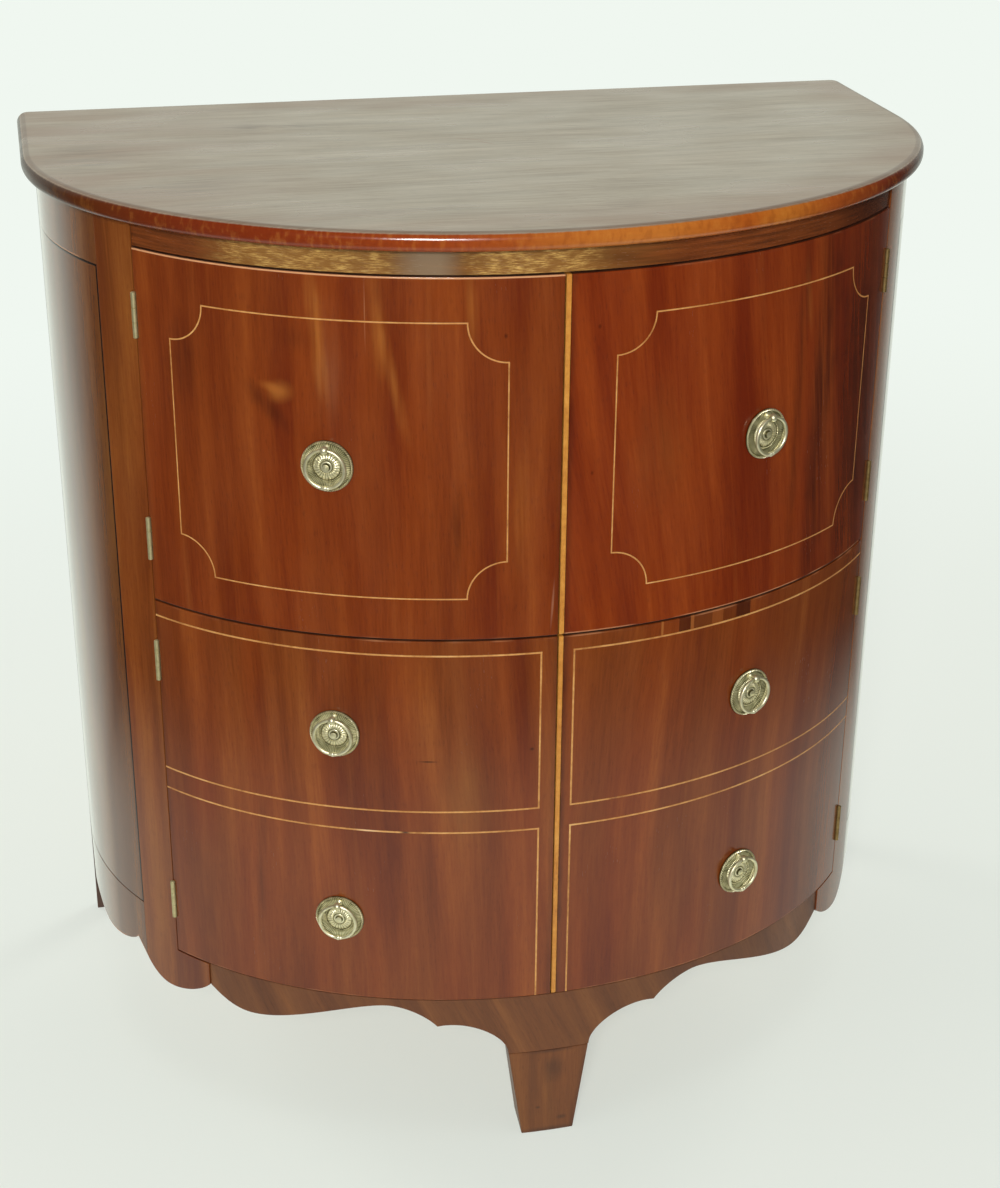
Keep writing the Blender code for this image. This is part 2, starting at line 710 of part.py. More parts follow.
def drawer_strings(spare, end_arc):
    """Loops of the lower door's two string lines, which frame two sham drawer fronts."""
    grow = STRING_WIDTH / 2 + spare
    inner = DRAWER_STRING_INNER_ARC
    head = LOWER_DOOR_TOP - DRAWER_STRING_HEAD
    sill = DRAWER_SPLIT_HEIGHT + DRAWER_STRING_SPLIT / 2
    lower_head = DRAWER_SPLIT_HEIGHT - DRAWER_STRING_SPLIT / 2
    foot = DOOR_BOTTOM - (OVERRUN if spare else 0)
    upper = [
        (inner - grow, sill - grow), (end_arc, sill - grow), (end_arc, sill + grow),
        (inner + grow, sill + grow), (inner + grow, head - grow), (end_arc, head - grow),
        (end_arc, head + grow), (inner - grow, head + grow),
    ]
    lower = [
        (inner - grow, foot), (inner + grow, foot), (inner + grow, lower_head - grow),
        (end_arc, lower_head - grow), (end_arc, lower_head + grow), (inner - grow, lower_head + grow),
    ]
    return [[upper], [lower]]


def pull_plate():
    """Turned backplate with its riveted eye stud and nut, facing -Y, centred on the plate."""
    outward = Matrix.Rotation(math.radians(90), 4, "X")
    plate = turned([(PLATE_RADIUS * r, PLATE_RELIEF * h) for r, h in PLATE_SHARES], PLATE_STEPS)
    plate.transform(Matrix.Translation((0, -SEAM, 0)) @ outward)

    seat = SEAM + PLATE_RELIEF * PLATE_FLAT_SHARE
    tail = -(DOOR_THICKNESS + NUT_HEIGHT + SEAM + STUD_RADIUS)
    neck = math.asin(STUD_RADIUS / EYE_RADIUS)
    ball = [
        (EYE_RADIUS * math.sin(turn), RING_STAND_OFF + EYE_RADIUS * math.cos(turn))
        for turn in np.linspace(0, math.pi - neck, EYE_ARC_STEPS + 1)
    ]
    stud = turned(ball + [
        (STUD_RADIUS, seat + COLLAR_HEIGHT), (COLLAR_RADIUS, seat + COLLAR_HEIGHT),
        (COLLAR_RADIUS, seat - PLATE_RELIEF * PLATE_FLAT_SHARE / 2),
        (STUD_RADIUS, seat - PLATE_RELIEF * PLATE_FLAT_SHARE / 2), (STUD_RADIUS, tail), (0, tail),
    ], STUD_SIDES)
    stud.transform(Matrix.Translation((0, 0, RING_RADIUS)) @ outward)
    eye = rod((0, -RING_STAND_OFF, RING_RADIUS), (1, 0, 0), RING_WIRE_RADIUS + EYE_CLEARANCE,
              3 * EYE_RADIUS, STUD_SIDES)
    stud = combined(stud, [eye], "DIFFERENCE")
    half = NUT_WIDTH / 2
    near = DOOR_THICKNESS + SEAM
    nut = box((-half, near, RING_RADIUS - half), (half, near + NUT_HEIGHT, RING_RADIUS + half))
    return combined(plate, [stud, nut], "UNION")


def build_pull(name, side, height, door_pivot):
    """Backplate with its eye stud, and the ring that swings in the eye."""
    face = bow_frame(side * PULL_ARC, height)
    add_part(f"{name}_plate", pull_plate(), BRASS, door_pivot, face, True)
    ring_place = face @ Matrix.Translation((0, -RING_STAND_OFF, RING_RADIUS))
    ring_pivot = add_pivot(f"{name}_ring_pivot", ring_place, door_pivot)
    bpy.ops.mesh.primitive_torus_add(
        major_radius=RING_RADIUS, minor_radius=RING_WIRE_RADIUS,
        major_segments=RING_SEGMENTS, minor_segments=RING_WIRE_SIDES)
    drawn = bpy.context.object
    ring = drawn.data
    ring.transform(Matrix.Translation((0, 0, -RING_RADIUS)) @ Matrix.Rotation(math.radians(90), 4, "X"))
    bpy.data.objects.remove(drawn)
    add_part(f"{name}_ring", ring, BRASS, ring_pivot, ring_place, True)


def build_door(side, tier, label):
    """One bow-front door with its stringing, closing bead, hinges and pulls."""
    upper = tier == "upper"
    bottom, top = (UPPER_DOOR_BOTTOM, UPPER_DOOR_TOP) if upper else (DOOR_BOTTOM, LOWER_DOOR_TOP)
    heights = [UPPER_PULL_HEIGHT] if upper else list(LOWER_PULL_HEIGHTS)
    name = f"{tier}_{label}_door"
    hinges = hinge_heights(tier)
    pivot = add_pivot(f"{name}_pivot", hinge_axis(side, (bottom + top) / 2))

    closing = CLOSING_GAP / 2
    if side > 0:
        bead_width = UPPER_BEAD_WIDTH if upper else LOWER_BEAD_WIDTH
        bead = rectangle(closing, closing + bead_width, bottom, top)
        add_part(f"{tier}_closing_bead", bend_round_bow(
            flat_board([bead], 0, DOOR_THICKNESS)), BOXWOOD, pivot)
        closing += bead_width + SEAM
    board = flat_board([sided(rectangle(closing, DOOR_EDGE_ARC, bottom, top), side)], 0, DOOR_THICKNESS)

    if upper:
        grooves = panel_string(SEAM)
        strings = panel_string(0)
    else:
        grooves = drawer_strings(SEAM, DOOR_EDGE_ARC + OVERRUN)
        strings = drawer_strings(0, DOOR_EDGE_ARC)
    cutters = [
        flat_board([sided(loop, side) for loop in group], -OVERRUN, GROOVE_DEPTH + OVERRUN)
        for group in grooves
    ]
    cutters += on_side(hinge_cutters(hinges), side)
    cutters += [
        rod((side * PULL_ARC, DOOR_THICKNESS / 2, height + RING_RADIUS), (0, 1, 0),
            STUD_RADIUS + SEAM, DOOR_THICKNESS + 2 * OVERRUN, STUD_SIDES)
        for height in heights
    ]
    add_part(name, bend_round_bow(combined(board, cutters, "DIFFERENCE")), MAHOGANY, pivot)

    places = ("",) if upper else ("top_", "bottom_")
    for place, group in zip(places, strings):
        line = flat_board([sided(loop, side) for loop in group], 0, STRING_THICKNESS)
        add_part(f"{tier}_{label}_{place}stringing", bend_round_bow(line), BOXWOOD, pivot)
    for place, height in zip(("bottom", "top"), hinges):
        axis = hinge_axis(side, height)
        hinge = f"{tier}_{label}_{place}_hinge"
        add_part(f"{hinge}_door_leaf", door_leaf(side), BRASS, pivot, axis)
        add_part(f"{hinge}_stile_leaf", stile_leaf(side), BRASS, None, axis)
    for place, height in zip(places, heights):
        build_pull(f"{tier}_{label}_{place}pull", side, height, pivot)


def hinge_heights(tier):
    """Centre heights of a door's two hinges."""
    if tier == "upper":
        return [UPPER_DOOR_BOTTOM + HINGE_END_DISTANCE, UPPER_DOOR_TOP - HINGE_END_DISTANCE]
    return [DOOR_BOTTOM + HINGE_END_DISTANCE, LOWER_DOOR_TOP - LOWER_HINGE_TOP_DISTANCE]


def main():
    for old in list(bpy.data.objects):
        bpy.data.objects.remove(old, do_unlink=True)
    bpy.context.scene.collection.children.link(parts)
    build_top()
    build_front_frame()
    build_inside()
    for side, label in ((-1, "left"), (1, "right")):
        heights = hinge_heights("lower") + hinge_heights("upper")
        build_side(side, label, on_side(hinge_cutters(heights), side))
        for tier in ("lower", "upper"):
            build_door(side, tier, label)


main()
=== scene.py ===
"""Demilune cabinet: the looks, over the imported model. Lengths are in metres, angles in radians."""

import math

import bmesh
import bpy
import numpy as np
from mathutils import Matrix, Vector
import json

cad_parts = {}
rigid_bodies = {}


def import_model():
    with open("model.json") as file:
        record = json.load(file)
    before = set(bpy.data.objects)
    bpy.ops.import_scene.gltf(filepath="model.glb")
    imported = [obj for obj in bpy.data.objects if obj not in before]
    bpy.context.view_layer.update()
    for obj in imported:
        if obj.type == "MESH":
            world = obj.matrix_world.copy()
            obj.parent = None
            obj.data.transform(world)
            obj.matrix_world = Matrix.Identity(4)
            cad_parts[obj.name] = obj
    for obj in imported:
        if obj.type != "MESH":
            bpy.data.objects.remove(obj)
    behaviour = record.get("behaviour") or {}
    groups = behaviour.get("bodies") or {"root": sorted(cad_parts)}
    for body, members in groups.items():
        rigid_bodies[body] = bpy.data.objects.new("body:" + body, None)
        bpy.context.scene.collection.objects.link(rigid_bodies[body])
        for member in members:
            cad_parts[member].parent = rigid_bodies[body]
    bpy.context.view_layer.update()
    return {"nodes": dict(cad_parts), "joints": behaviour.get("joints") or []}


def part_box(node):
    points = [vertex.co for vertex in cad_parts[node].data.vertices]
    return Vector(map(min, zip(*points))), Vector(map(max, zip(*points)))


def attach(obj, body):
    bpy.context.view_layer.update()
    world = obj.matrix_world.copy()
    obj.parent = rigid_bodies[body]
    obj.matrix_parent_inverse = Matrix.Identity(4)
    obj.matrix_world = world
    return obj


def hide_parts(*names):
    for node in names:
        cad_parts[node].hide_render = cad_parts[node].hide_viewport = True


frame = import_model()


# Boards inside
# Base board, dividing shelf, three back boards and the block behind the front foot are pine,
# planed by hand, nailed and glued in and never finished, so they are dry, yellow and dusty.
# Their CAD shapes are right and stay.

LATE_WOOD_SPACING = 0.009
LATE_WOOD_SWING = 190.0


class Field:
    """A number, place or colour that a shader works out at every point, to write sums with."""

    def __init__(self, socket):
        self.socket = socket
        self.tree = socket.id_data

    def __add__(self, other):
        return maths("ADD", self, other)

    def __sub__(self, other):
        return maths("SUBTRACT", self, other)

    def __rsub__(self, other):
        return maths("SUBTRACT", other, self)

    def __mul__(self, other):
        return maths("MULTIPLY", self, other)

    def __abs__(self):
        return maths("ABSOLUTE", self)

    __radd__, __rmul__ = __add__, __mul__


def linear(code):
    """Linear RGBA of a hex colour: each share v is v / 12.92 or ((v + 0.055) / 1.055) ** 2.4."""
    shares = [int(code[at:at + 2], 16) / 255 for at in (1, 3, 5)]
    return (*[v / 12.92 if v <= 0.04045 else ((v + 0.055) / 1.055) ** 2.4 for v in shares], 1)


def add_node(tree, kind, sockets=None, **settings):
    """Add a shader node, apply its settings, and set or link its inputs by name or number."""
    node = tree.nodes.new("ShaderNode" + kind)
    for key, value in settings.items():
        setattr(node, key, value)
    for key, value in (sockets or {}).items():
        if isinstance(value, Field):
            tree.links.new(value.socket, node.inputs[key])
        else:
            node.inputs[key].default_value = linear(value) if isinstance(value, str) else value
    return node


def field(tree, kind, sockets=None, output=0, **settings):
    """The field that one output of a new node gives."""
    return Field(add_node(tree, kind, sockets, **settings).outputs[output])


def tree_of(values):
    """The node tree that the first field among some values belongs to."""
    return next(value.tree for value in values if isinstance(value, Field))


def maths(operation, *values):
    """One step of arithmetic on fields and numbers."""
    return field(tree_of(values), "Math", dict(enumerate(values)), operation=operation)


def vector_maths(operation, *values, output="Vector"):
    """One step of arithmetic on places."""
    sockets = dict(enumerate(values))
    return field(tree_of(values), "VectorMath", sockets, output, operation=operation)


def axes(place):
    """The X, Y and Z of a place."""
    return [Field(socket) for socket in add_node(place.tree, "SeparateXYZ", {0: place}).outputs]


def objects_place(tree):
    """Object coordinates."""
    return field(tree, "TexCoord", None, "Object")


def colour_ramp(share, stops, interpolation="LINEAR"):
    """Colour and cover between (position, hex colour) or (position, hex colour, cover) stops."""
    node = add_node(share.tree, "ValToRGB", {"Fac": share})
    node.color_ramp.interpolation = interpolation
    elements = node.color_ramp.elements
    while len(elements) < len(stops):
        elements.new(1)
    for element, (position, code, *cover) in zip(elements, stops):
        element.position = position
        element.color = (*linear(code)[:3], *(cover or [1]))
    return Field(node.outputs["Color"]), Field(node.outputs["Alpha"])


def toned(share, codes, positions=(0.30, 0.42, 0.50, 0.60, 0.74)):
    """Colour that runs through hex colours, from the dark streaks of a wood to its light ones."""
    return colour_ramp(share, list(zip(positions, codes.split())))[0]


def mixed(share, first, second, blend="MIX"):
    """The second colour over the first, by a share."""
    sockets = {0: share, 6: first, 7: second}
    tree = tree_of([first, second, share])
    return field(tree, "Mix", sockets, 2, data_type="RGBA", blend_type=blend)


def graded(value, start, end, first=0.0, last=1.0):
    """Eases from first to last as the value goes from start to end, and holds beyond them."""
    sockets = {"Value": value, "From Min": start, "From Max": end, "To Min": first, "To Max": last}
    return field(value.tree, "MapRange", sockets, "Result", interpolation_type="SMOOTHSTEP")


def noise(place, size, detail=2.0, roughness=0.5):
    """Noise round 0.5 whose blotches measure size metres in X, Y and Z."""
    scaled = vector_maths("MULTIPLY", place, tuple(1 / length for length in size))
    sockets = {"Vector": scaled, "Scale": 1.0, "Detail": detail, "Roughness": roughness}
    return field(place.tree, "TexNoise", sockets, "Fac")


def new_material(name):
    """An empty node material and its tree."""
    material = bpy.data.materials.new(name)
    material.use_nodes = True
    material.node_tree.nodes.clear()
    return material, material.node_tree


def surfaced(material, colour, roughness, height, strength, distance, **more):
    """Finish a material: one Principled surface, bumped by a height field."""
    tree = material.node_tree
    bump = field(tree, "Bump", {"Height": height, "Strength": strength, "Distance": distance})
    sockets = {"Base Color": colour, "Roughness": roughness, "Normal": bump}
    sockets.update((key.replace("_", " "), value) for key, value in more.items())
    add_node(tree, "OutputMaterial", {"Surface": field(tree, "BsdfPrincipled", sockets)})
    return material


def planed_pine(name, across, waves, fibres, seed):
    """Planed bare pine: late wood in lines about 9 mm apart, which a long noise bends into arches.

    To the eye it is dry and matt, honey yellow with soft brown lines, gone brown with dust in broad
    patches. Real late wood is 4 mm apart, too fine to show here.
    """
    material, tree = new_material(name)
    place = vector_maths("ADD", objects_place(tree), (seed, seed, seed))
    swing = LATE_WOOD_SWING * noise(place, waves, 3.0)
    growth = maths("SINE", axes(place)[across] * (2 * math.pi / LATE_WOOD_SPACING) + swing)
    dust = noise(place, (0.12, 0.12, 0.12), 3.0)
    fade = noise(place, (0.07, 0.07, 0.07))
    tone = 0.16 * graded(growth, -0.4, 1.0) + 0.5 * noise(place, fibres, 3.0) + 0.45 * fade
    wood = toned(tone, "#c79d68 #b98c56 #9a6c3a", (0.35, 0.55, 0.80))
    wood = mixed(graded(dust, 0.4, 0.75, 0.0, 0.45), wood, "#8a7355")
    return surfaced(material, wood, 0.78, tone, 0.3, 0.0004)


level_pine = planed_pine(
    "hand_planed_pine_laid_level", 1, (1.1, 0.17, 0.17), (0.12, 0.003, 0.003), 0.3)
pine_boards = dict.fromkeys(("base_board", "middle_shelf", "front_foot_block"), level_pine)
for number in (1, 2, 3):
    pine_boards[f"back_board_{number}"] = planed_pine(
        f"hand_planed_pine_of_back_board_{number}", 0, (0.17, 0.17, 1.1), (0.003, 0.003, 0.12),
        1.7 * number)
for node_name, pine in pine_boards.items():
    board = frame["nodes"][node_name]
    board.data.materials.clear()
    board.data.materials.append(pine)


# Stiles
# The two uprights that the doors hang on, solid mahogany faced with veneer, bent round the bow
# and let into the top. Each ends below the doors in a rounded ear, and its inner edge is cut for
# the barrels and leaves of four hinges.

HALF_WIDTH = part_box("right_rear_post")[1].x
BACK_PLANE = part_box("right_rear_post")[1].y
BOW_DEPTH = 0.3368
RETURN_DEPTH = 0.1675
SEAM = 0.0003
STILE_OUTER_ARC = 0.432
STILE_WIDTH = 0.0487
DOOR_SIDE_GAP = 0.001
EAR_REACH = 0.0398
EAR_DROP = 0.0459
FRAME_THICKNESS = 0.022
SILL_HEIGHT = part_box("front_apron")[1].z
FRAME_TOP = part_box("right_stile")[1].z
HINGE_ARC = STILE_OUTER_ARC - STILE_WIDTH
STILE_INNER_ARC = HINGE_ARC + DOOR_SIDE_GAP / 2
EAR_ARC = HINGE_ARC - EAR_REACH
EAR_LOW_HEIGHT = SILL_HEIGHT - EAR_DROP
EAR_SWEEP_SHARES = (
    (0, 0.473), (0.096, 0.266), (0.367, 0), (0.616, 0),
    (0.774, 0), (0.915, 0.19), (1, 0.386),
)
KNUCKLE_RADIUS = 0.0022
KNUCKLE_PROUD = 0.001
LEAF_THICKNESS = 0.001
LEAF_DEPTH = 0.015
HINGE_MORTISE_HALF = 0.0204
CUTTER_PROUD = 0.002
GLUE_LINE = 0.0001
SHORTEST_STEP = 0.0003
CORNER_CLEARANCE = 0.0016
ARRIS_ANGLE = math.radians(50)
SMOOTH_ANGLE = math.radians(35)
FIGURED_SPOT_HALF = 0.02
TIERS = ("lower", "upper")
SIDES = ((-1, "left"), (1, "right"))
EDGE_TONES = "#3a1c0f #532e1a"
BARE_TONES = "#5a331d #744830 #8c6042"
RED_TONES = "#621f0a #6d280b #752e0d #7e3510 #8c4214"
OLIVE_TONES = "#573316 #623c19 #6b431d #754c22 #84592a"
STILE_TONES = "#66250d #71300f #7b3812 #864116 #93501c"

turns = np.linspace(0, math.pi / 2, 4001)
quarter = np.stack([HALF_WIDTH * np.sin(turns), BOW_DEPTH * np.cos(turns)], axis=1)
lengths = np.concatenate([[0], np.cumsum(np.linalg.norm(np.diff(quarter, axis=0), axis=1))])
BOW_ARC = float(lengths[-1])
ELLIPSE_CENTRE = BACK_PLANE - RETURN_DEPTH


def round_bow(set_out):
    """Wrap flat (arc, depth, height) points round the plan of the cabinet.

    Up to BOW_ARC the plan is half an ellipse, x = a sin t and y = c - b cos t, with t found from
    a table of arc lengths; past it y goes on straight back. Each point lies its depth inside,
    along the normal (sin t / a, -cos t / b).
    """
    arc, depth, height = np.asarray(set_out, dtype=float).T
    side = np.sign(arc)
    turn = np.interp(np.abs(arc), lengths, turns)
    past = np.maximum(np.abs(arc) - BOW_ARC, 0)
    across, back = np.sin(turn) / HALF_WIDTH, np.cos(turn) / BOW_DEPTH
    reach = depth / np.hypot(across, back)
    x = side * (HALF_WIDTH * np.sin(turn) - across * reach)
    y = ELLIPSE_CENTRE - BOW_DEPTH * np.cos(turn) + past + back * reach
    return np.stack([x, y, height], axis=1)


def swept_edge(shares, start, end, steps=24):
    """A scalloped edge as (arc, height) points.

    Every third share is a point the edge goes through; between two of them it is the cubic
    pulled by the two shares between, all scaled from start to end.
    """
    points = np.array(start) + np.array(shares) * (np.array(end) - np.array(start))
    go = np.linspace(0, 1, steps + 1)[:, None]
    left = 1 - go
    path = np.concatenate([
        left ** 3 * a + 3 * left ** 2 * go * b + 3 * left * go ** 2 * c + go ** 3 * d
        for a, b, c, d in (points[at:at + 4] for at in range(0, len(points) - 1, 3))
    ])
    keep = np.concatenate([[True], np.diff(path[:, 0]) > SHORTEST_STEP])
    keep[-1] = True
    return path[keep]


def regular(start, end, spacing=0.004):
    """Evenly spaced arcs from start to end."""
    return np.linspace(start, end, max(1, round((end - start) / spacing)) + 1)


def new_mesh(points, faces):
    """A mesh of points and faces."""
    mesh = bpy.data.meshes.new("shape")
    mesh.from_pydata(np.asarray(points, dtype=float).tolist(), [], faces)
    return mesh


def settled(blank):
    """The mesh of an object with its modifiers worked out; the object goes."""
    bpy.context.scene.collection.objects.link(blank)
    graph = bpy.context.evaluated_depsgraph_get()
    mesh = bpy.data.meshes.new_from_object(blank.evaluated_get(graph))
    bpy.data.objects.remove(blank)
    return mesh


def flat_board(arcs, levels, front, thickness, arris, keep=None):
    """A board set out flat, with its arrises eased.

    The show face is a grid with a column at each arc and a row at each level, where a level
    holds a height for every arc. Solidify gives it its thickness and Bevel eases its edges.
    """
    levels = np.array([np.broadcast_to(level, arcs.shape) for level in levels])
    rows, columns = levels.shape
    spread, flush = np.broadcast_to(arcs, levels.shape), np.full(levels.shape, front)
    points = np.stack([spread, flush, levels], axis=2).reshape(-1, 3)
    row, column = np.mgrid[:rows - 1, :columns - 1]
    corner = row * columns + column
    quads = np.stack([corner, corner + 1, corner + columns + 1, corner + columns], axis=2)
    quads = quads[np.ones(corner.shape, bool) if keep is None else keep]
    used, quads = np.unique(quads, return_inverse=True)
    mesh = new_mesh(points[used], quads.reshape(-1, 4).tolist())
    blank = bpy.data.objects.new("board", mesh)
    solidify = blank.modifiers.new("thickness", "SOLIDIFY")
    solidify.thickness = thickness
    solidify.offset = -1
    bevel = blank.modifiers.new("arris", "BEVEL")
    bevel.width = arris
    bevel.segments = 2
    bevel.limit_method = "ANGLE"
    bevel.angle_limit = ARRIS_ANGLE
    bevel.use_clamp_overlap = False
    return settled(blank)


def box_mesh(low, high):
    """The box between two corners."""
    x, y, z = zip(low, high)
    corners = [(a, b, c) for a in x for b in y for c in z]
    return new_mesh(corners, [
        (0, 1, 3, 2), (4, 6, 7, 5), (0, 4, 5, 1), (2, 3, 7, 6), (0, 2, 6, 4), (1, 5, 7, 3)])


def cut(mesh, cutters):
    """A mesh less each of the cutters."""
    blank = bpy.data.objects.new("blank", mesh)
    tools = []
    for cutter in cutters:
        tool = bpy.data.objects.new("tool", cutter)
        bpy.context.scene.collection.objects.link(tool)
        tools.append(tool)
        boolean = blank.modifiers.new("cut", "BOOLEAN")
        boolean.operation = "DIFFERENCE"
        boolean.object = tool
    mesh = settled(blank)
    for tool in tools:
        bpy.data.objects.remove(tool)
    return mesh


def hinge_cutters(heights, side):
    """Boxes that clear the barrels and leaves of hinges at these heights."""
    pocket = KNUCKLE_RADIUS + SEAM
    leaf = LEAF_THICKNESS + SEAM
    middle = side * HINGE_ARC
    return [
        box_mesh(
            (middle - across, -CUTTER_PROUD, height - HINGE_MORTISE_HALF),
            (middle + across, back, height + HINGE_MORTISE_HALF))
        for height in heights
        for across, back in ((pocket, pocket - KNUCKLE_PROUD), (leaf, LEAF_DEPTH + SEAM))
    ]


def put(name, mesh, material, body, node):
    """Show a finished mesh in place of a CAD node, smooth where it turns by little."""
    mesh.name = name
    mesh.materials.clear()
    mesh.materials.append(material)
    mesh.shade_smooth()
    mesh.set_sharp_from_angle(angle=SMOOTH_ANGLE)
    piece = bpy.data.objects.new(name, mesh)
    bpy.context.scene.collection.objects.link(piece)
    weighted = piece.modifiers.new("even_faces", "WEIGHTED_NORMAL")
    weighted.keep_sharp = True
    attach(piece, body)
    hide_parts(node)


def remember(mesh, name, values):
    """Keep a vector for each vertex of a mesh, for its material to read."""
    kept = mesh.attributes.get(name) or mesh.attributes.new(name, "FLOAT_VECTOR", "POINT")
    kept.data.foreach_set("vector", np.asarray(values, dtype=np.float32).ravel())


def points_of(mesh):
    """The vertices of a mesh as an array."""
    points = np.empty(len(mesh.vertices) * 3)
    mesh.vertices.foreach_get("co", points)
    return points.reshape(-1, 3)


def moved(mesh, points):
    """A mesh with its vertices at new points."""
    mesh.vertices.foreach_set("co", points.ravel())
    mesh.update()
    return mesh


def bend(mesh, edges):
    """Wrap a flat board round the bow, keeping where each point was set out and its distances
    from the edges: the nearer side, the low edge and the high edge.

    edges are the left and right arc and the low and high edge, the last two a height or
    (arcs, heights) to read between.
    """
    points = points_of(mesh)
    left, right, low, high = edges
    low, high = (
        np.interp(points[:, 0], *edge) if isinstance(edge, tuple) else np.full(len(points), edge)
        for edge in (low, high)
    )
    sides = np.minimum(points[:, 0] - left, right - points[:, 0])
    remember(mesh, "set_out", points)
    remember(mesh, "from_edges", np.stack([sides, points[:, 2] - low, high - points[:, 2]], 1))
    return moved(mesh, round_bow(points))


def attribute(tree, name):
    """A vector that remember() kept on the mesh."""
    return field(tree, "Attribute", None, "Vector", attribute_name=name)


def warped(place, axis, size, reach):
    """A place pushed along one axis by a slow noise, so that the grain wanders."""
    push = field(place.tree, "CombineXYZ", {axis: (noise(place, size, 1.0) - 0.5) * reach})
    return vector_maths("ADD", place, push)


def in_ellipse(place, middle, halves, turn=(0, 0, 0), kept=(1, 1, 1)):
    """How far a place is from an ellipse's middle, where 1 is its rim.

    The place is moved, turned and divided by the half sizes, and its length along the kept
    axes is taken.
    """
    sockets = {"Vector": place, "Location": middle, "Rotation": turn, "Scale": halves}
    own = field(place.tree, "Mapping", sockets, vector_type="TEXTURE")
    return vector_maths("LENGTH", vector_maths("MULTIPLY", own, kept), output="Value")


def soft_spot(set_out, spot):
    """1 inside an ellipse on the face, easing to 0 outside, with an uneven rim from a noise."""
    arc, height, half_arc, half_height, tilt = spot
    reach = in_ellipse(
        set_out, (arc, 0, height), (half_arc, 1, half_height), (0, math.radians(tilt), 0),
        (1, 0, 1))
    uneven = 0.7 * noise(set_out, (0.025, 0.02, 0.040)) - 0.35
    return graded(reach + uneven, 1.25, 0.0)


def polished_mahogany(
        name, seed, grain=0.0, tones=RED_TONES, olive=0.35, gold=0.15, front=0.0, thickness=0.02,
        coat=0.0, pores=0.0003, shine=0.15, grime=0.25, arris_wear_and_highlight=(0.15, 0.15), spots=(), crevice_shade=0.0,
        patches=None, figuring=None):
    """Mahogany veneer, scraped, stained red and polished with shellac, then rubbed and waxed.

    To the eye: red brown, turning olive where the stain has gone, in soft streaks along the
    grain under short dark pores; golden where the fibre turns; pale along the arrises, partly worn
    and partly a painted highlight; dark in the sawn edges; all under a thin clear gloss. The
    inside of a door is plain and dull, and with thickness None the wood is solid and has neither.
    Pores are drawn 0.9 mm wide, some three times the real ones, so that they still show.

    grain is the slant in degrees; arris_wear_and_highlight says how pale the low and the high arris
    are, partly worn and partly a painted highlight; grime how dirty the side edges are and
    crevice_shade how dark a painted shade round the whole rim is, as in a crevice; front is the
    depth of the show face, thickness how far behind it the back is and pores how deep the grain is
    to the touch; coat is how strong a clear coat over it is. patches are pieces let in above a
    height, between two arcs, and figuring is a function that draws more over the finished colour.
    """
    material, tree = new_material(name)
    set_out = attribute(tree, "set_out")
    arc, deep, height = axes(set_out)
    side_edge, low_edge, high_edge = axes(attribute(tree, "from_edges"))
    depth = deep - front

    turned = field(tree, "Mapping", {
        "Vector": set_out, "Location": (seed, 0, 0.37 * seed),
        "Rotation": (0, math.radians(grain), 0)})
    wavy = warped(turned, "X", (0.20, 1, 0.40), 0.03)
    broad = noise(wavy, (0.045, 1, 0.35), 1.0)
    streaks = noise(wavy, (0.018, 1, 0.30))
    fine = noise(wavy, (0.0022, 1, 0.035))
    tone = 1.35 * (0.40 * broad + 0.42 * streaks + 0.18 * fine) - 0.175
    faded = graded(noise(wavy, (0.050, 1, 0.30), 1.0), 0.3, 0.7, 0.7 * olive, 1.3 * olive)
    wood = mixed(faded, toned(tone, tones), toned(tone, OLIVE_TONES))

    ribbon = noise(wavy, (0.012, 1, 0.40))
    wood = mixed(graded(ribbon, 0.56, 0.76, 0.0, gold), wood, "#a5632b")
    pore = graded(noise(wavy, (0.0009, 1, 0.009), 1.0), 0.55, 0.72)
    wood = mixed(0.20 * pore, wood, "#35120a")
    figure = graded(noise(wavy, (0.0045, 1, 0.11)), 0.30, 0.62, 0.35, 1.0)
    for spot, colour, strength in spots:
        mask = strength * soft_spot(set_out, spot)
        if spot[3] > FIGURED_SPOT_HALF:
            mask = mask * figure
        wood = mixed(mask, wood, colour)
    if patches:
        low, start, end, stops = patches
        colour, cover = colour_ramp(graded(arc, start, end), stops, "CONSTANT")
        wood = mixed(maths("GREATER_THAN", height, low) * cover, wood, colour)

    dirt = graded(side_edge, 0.006, 0.0005, 0.0, grime) * noise(set_out, (0.030, 0.02, 0.030))
    wood = mixed(1.6 * dirt, wood, "#2a0f08")
    rubbed = noise(set_out, (0.060, 0.02, 0.060))
    # The pale arrises are partly wear and partly a painted highlight where an arris catches the
    # light.
    for edge, strength in zip((low_edge, high_edge), arris_wear_and_highlight):
        ease = 0.35 * strength
        worn = graded(edge, 0.0016, 0.0010) * graded(
            rubbed, 0.60 - ease, 0.70 - ease, 0.0, strength)
        wood = mixed(worn, wood, "#cf9468")
    # Painted shade: a near-black line along every edge, for the shade in the crevice round a sunk
    # panel.
    if crevice_shade:
        nearest = maths("MINIMUM", side_edge, maths("MINIMUM", low_edge, high_edge))
        wood = mixed(graded(nearest, 0.0022, 0.0010, 0.0, crevice_shade), wood, "#15100d")
    sawn = graded(depth, 0.0010, 0.0018)
    if thickness:
        wood = mixed(sawn, wood, toned(tone, EDGE_TONES, (0.35, 0.65)))
        inside = graded(depth, thickness - 0.0012, thickness - 0.0004)
        bare = toned(tone, BARE_TONES, (0.32, 0.50, 0.68))
        wood = mixed(inside, wood, mixed(0.5 * pore, bare, "#3b2013"))
    if figuring:
        wood = figuring(wood, set_out)

    smear = noise(set_out, (0.05, 0.05, 0.12))
    gloss = graded(smear, 0.3, 0.7, shine - 0.03, shine + 0.05)
    gloss = 0.08 * pore + (0.4 if thickness else 0) * sawn + gloss
    return surfaced(
        material, wood, gloss, -0.15 * pore + 0.5 * fine, 0.25, pores, Coat_Weight=coat,
        Coat_Roughness=shine)


